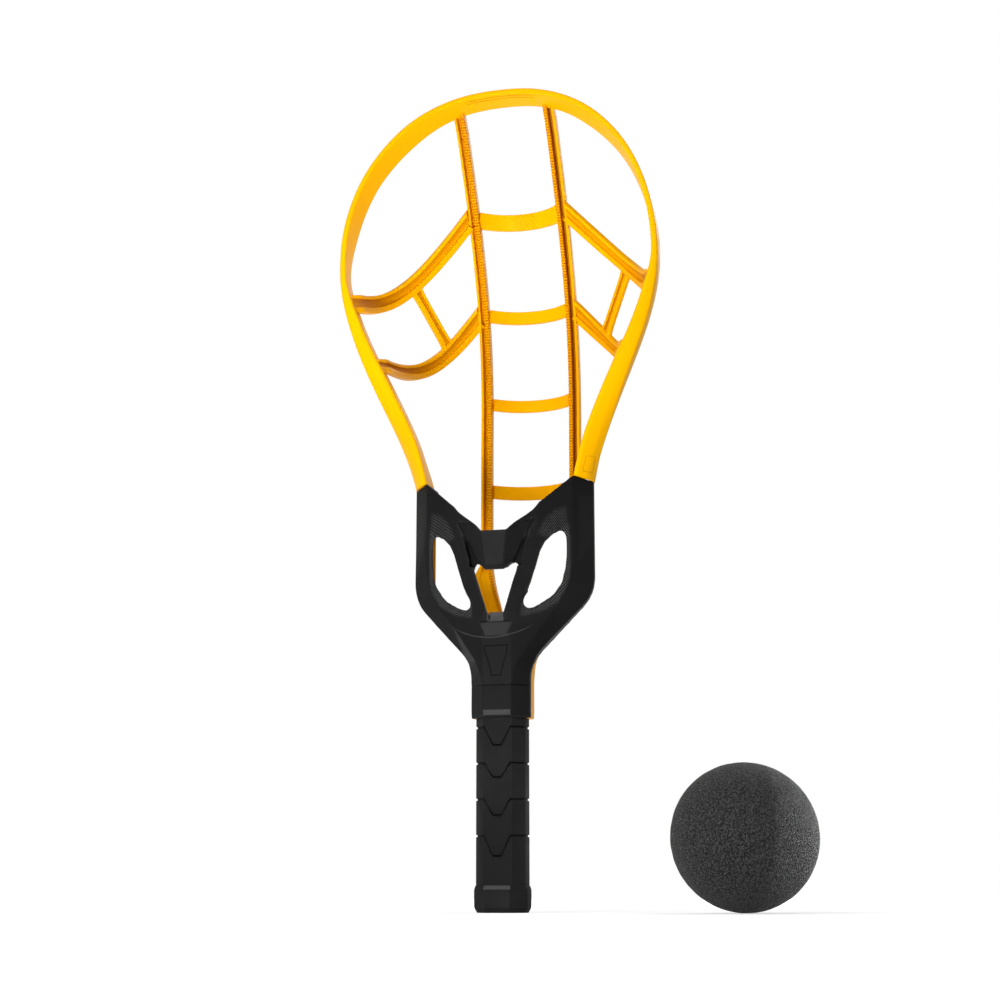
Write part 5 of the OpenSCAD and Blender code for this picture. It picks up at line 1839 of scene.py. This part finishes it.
@dataclass
class Studio:
    """Pale floor, soft lamps, white surround and camera."""

    camera_place: Point = (328.354, -1164.720, 10.0)
    pitch: float = 0.205885
    turn: float = 0.276222
    lens: float = 68.34
    sensor: float = 36.0
    ambient: float = 0.38
    floor_reach: float = 6.0
    floor_level: float = 0.86
    glow_reach: tuple[float, float] = (0.25, 0.7)
    glow_level: tuple[float, float] = (0.42, 1.2)
    lamps: tuple[Lamp, ...] = (
        Lamp("key_lamp", (-0.45, -1.8, 1.35), (0.0, 0.0, 0.36), 1.1, 16.5),
        Lamp("fill_lamp", (1.5, -1.2, 0.7), (0.03, 0.0, 0.3), 1.2, 0.4),
        Lamp("rim_lamp", (0.5, 1.4, 1.3), (0.0, 0.02, 0.35), 1.0, 9.0),
        Lamp("bounce_lamp", (-0.05, -0.42, 0.02), (0.0, 0.0, 0.5), 0.16, 2.9),
        Lamp("ball_lamp", (0.45, 0.17, 0.02), (0.153, -0.004, 0.045), 0.05, 24.0, cone=16.0),
        Lamp("crown_lamp", (-0.03, -0.30, 0.03), (-0.01, 0.0, 0.55), 0.015, 4.6, cone=34.0))

    def white_share(self, w: Wiring) -> bpy.types.NodeSocket:
        """1 for rays that show the surround: camera, glossy and transmission rays."""
        path = w.add("ShaderNodeLightPath")
        seen = w.calc("MAXIMUM", path.outputs["Is Camera Ray"], path.outputs["Is Glossy Ray"])
        return w.calc("MAXIMUM", seen, path.outputs["Is Transmission Ray"])

    def make_world(self) -> None:
        """White where it is seen, and a plain level of light where it lights."""
        world = bpy.data.worlds.new("studio")
        bpy.context.scene.world = world
        world.use_nodes = True
        world.node_tree.nodes.clear()
        w = Wiring(world.node_tree)
        back, out = w.add("ShaderNodeBackground"), w.add("ShaderNodeOutputWorld")
        back.inputs["Color"].default_value = (1, 1, 1, 1)
        level = w.calc("ADD", w.calc("MULTIPLY", self.white_share(w), 1 - self.ambient), self.ambient)
        w.feed(back.inputs["Strength"], level)
        w.feed(out.inputs["Surface"], back.outputs[0])

    def make_floor(self) -> None:
        """A plain pale floor whose own glow lifts it to white and leaves the shadow."""
        reach, level = self.floor_reach, self.floor_level
        corners = [(-reach, -reach, 0), (reach, -reach, 0), (reach, reach, 0), (-reach, reach, 0)]
        mesh = bpy.data.meshes.new("floor")
        mesh.from_pydata(corners, [], [(0, 1, 2, 3)])
        floor = make_object("floor", mesh)
        material = bpy.data.materials.new("pale_floor")
        w, shader, place = shader_of(material)
        for name, value in (("Base Color", (level, level, level, 1)), ("Roughness", 0.9),
                            ("Specular IOR Level", 0.0), ("Emission Color", (1, 1, 1, 1))):
            shader.inputs[name].default_value = value
        far = w.add("ShaderNodeVectorMath", operation="LENGTH")
        w.feed(far.inputs[0], place)
        glow = w.ramp(far.outputs["Value"], *self.glow_reach, *self.glow_level)
        w.feed(shader.inputs["Emission Strength"], w.calc("MULTIPLY", self.white_share(w), glow))
        mesh.materials.append(material)

    def make_camera(self) -> None:
        """Camera close to the floor, a little to the right, looking up the racket."""
        data = bpy.data.cameras.new("camera")
        data.lens, data.sensor_width, data.clip_start = self.lens, self.sensor, 0.01
        camera = make_object("camera", data)
        camera.location = [c * MM for c in self.camera_place]
        camera.rotation_euler = (math.pi / 2 + self.pitch, 0, self.turn)
        bpy.context.scene.camera = camera

    def build(self) -> None:
        """Sets up the studio."""
        self.make_camera()
        self.make_world()
        self.make_floor()
        for lamp in self.lamps:
            lamp.hang()
        bpy.context.scene.view_settings.view_transform = "Standard"
        log.info("studio: %d lamps", len(self.lamps))


def main() -> None:
    """Builds the racket, the ball and the studio in order."""
    logging.basicConfig(level=logging.INFO, format="%(name)s: %(message)s")
    finishes = Finishes(SharedEffects())
    hoop = Hoop()
    track = Track(hoop)
    hoop.build(finishes)
    track.build(finishes)
    SideArms(hoop, track).build(finishes)
    Yoke().build(finishes)
    Screws().build(finishes)
    Handle().build(finishes)
    Ball().build(finishes)
    Studio().build()
    bpy.context.view_layer.update()


if __name__ == "__main__":
    main()
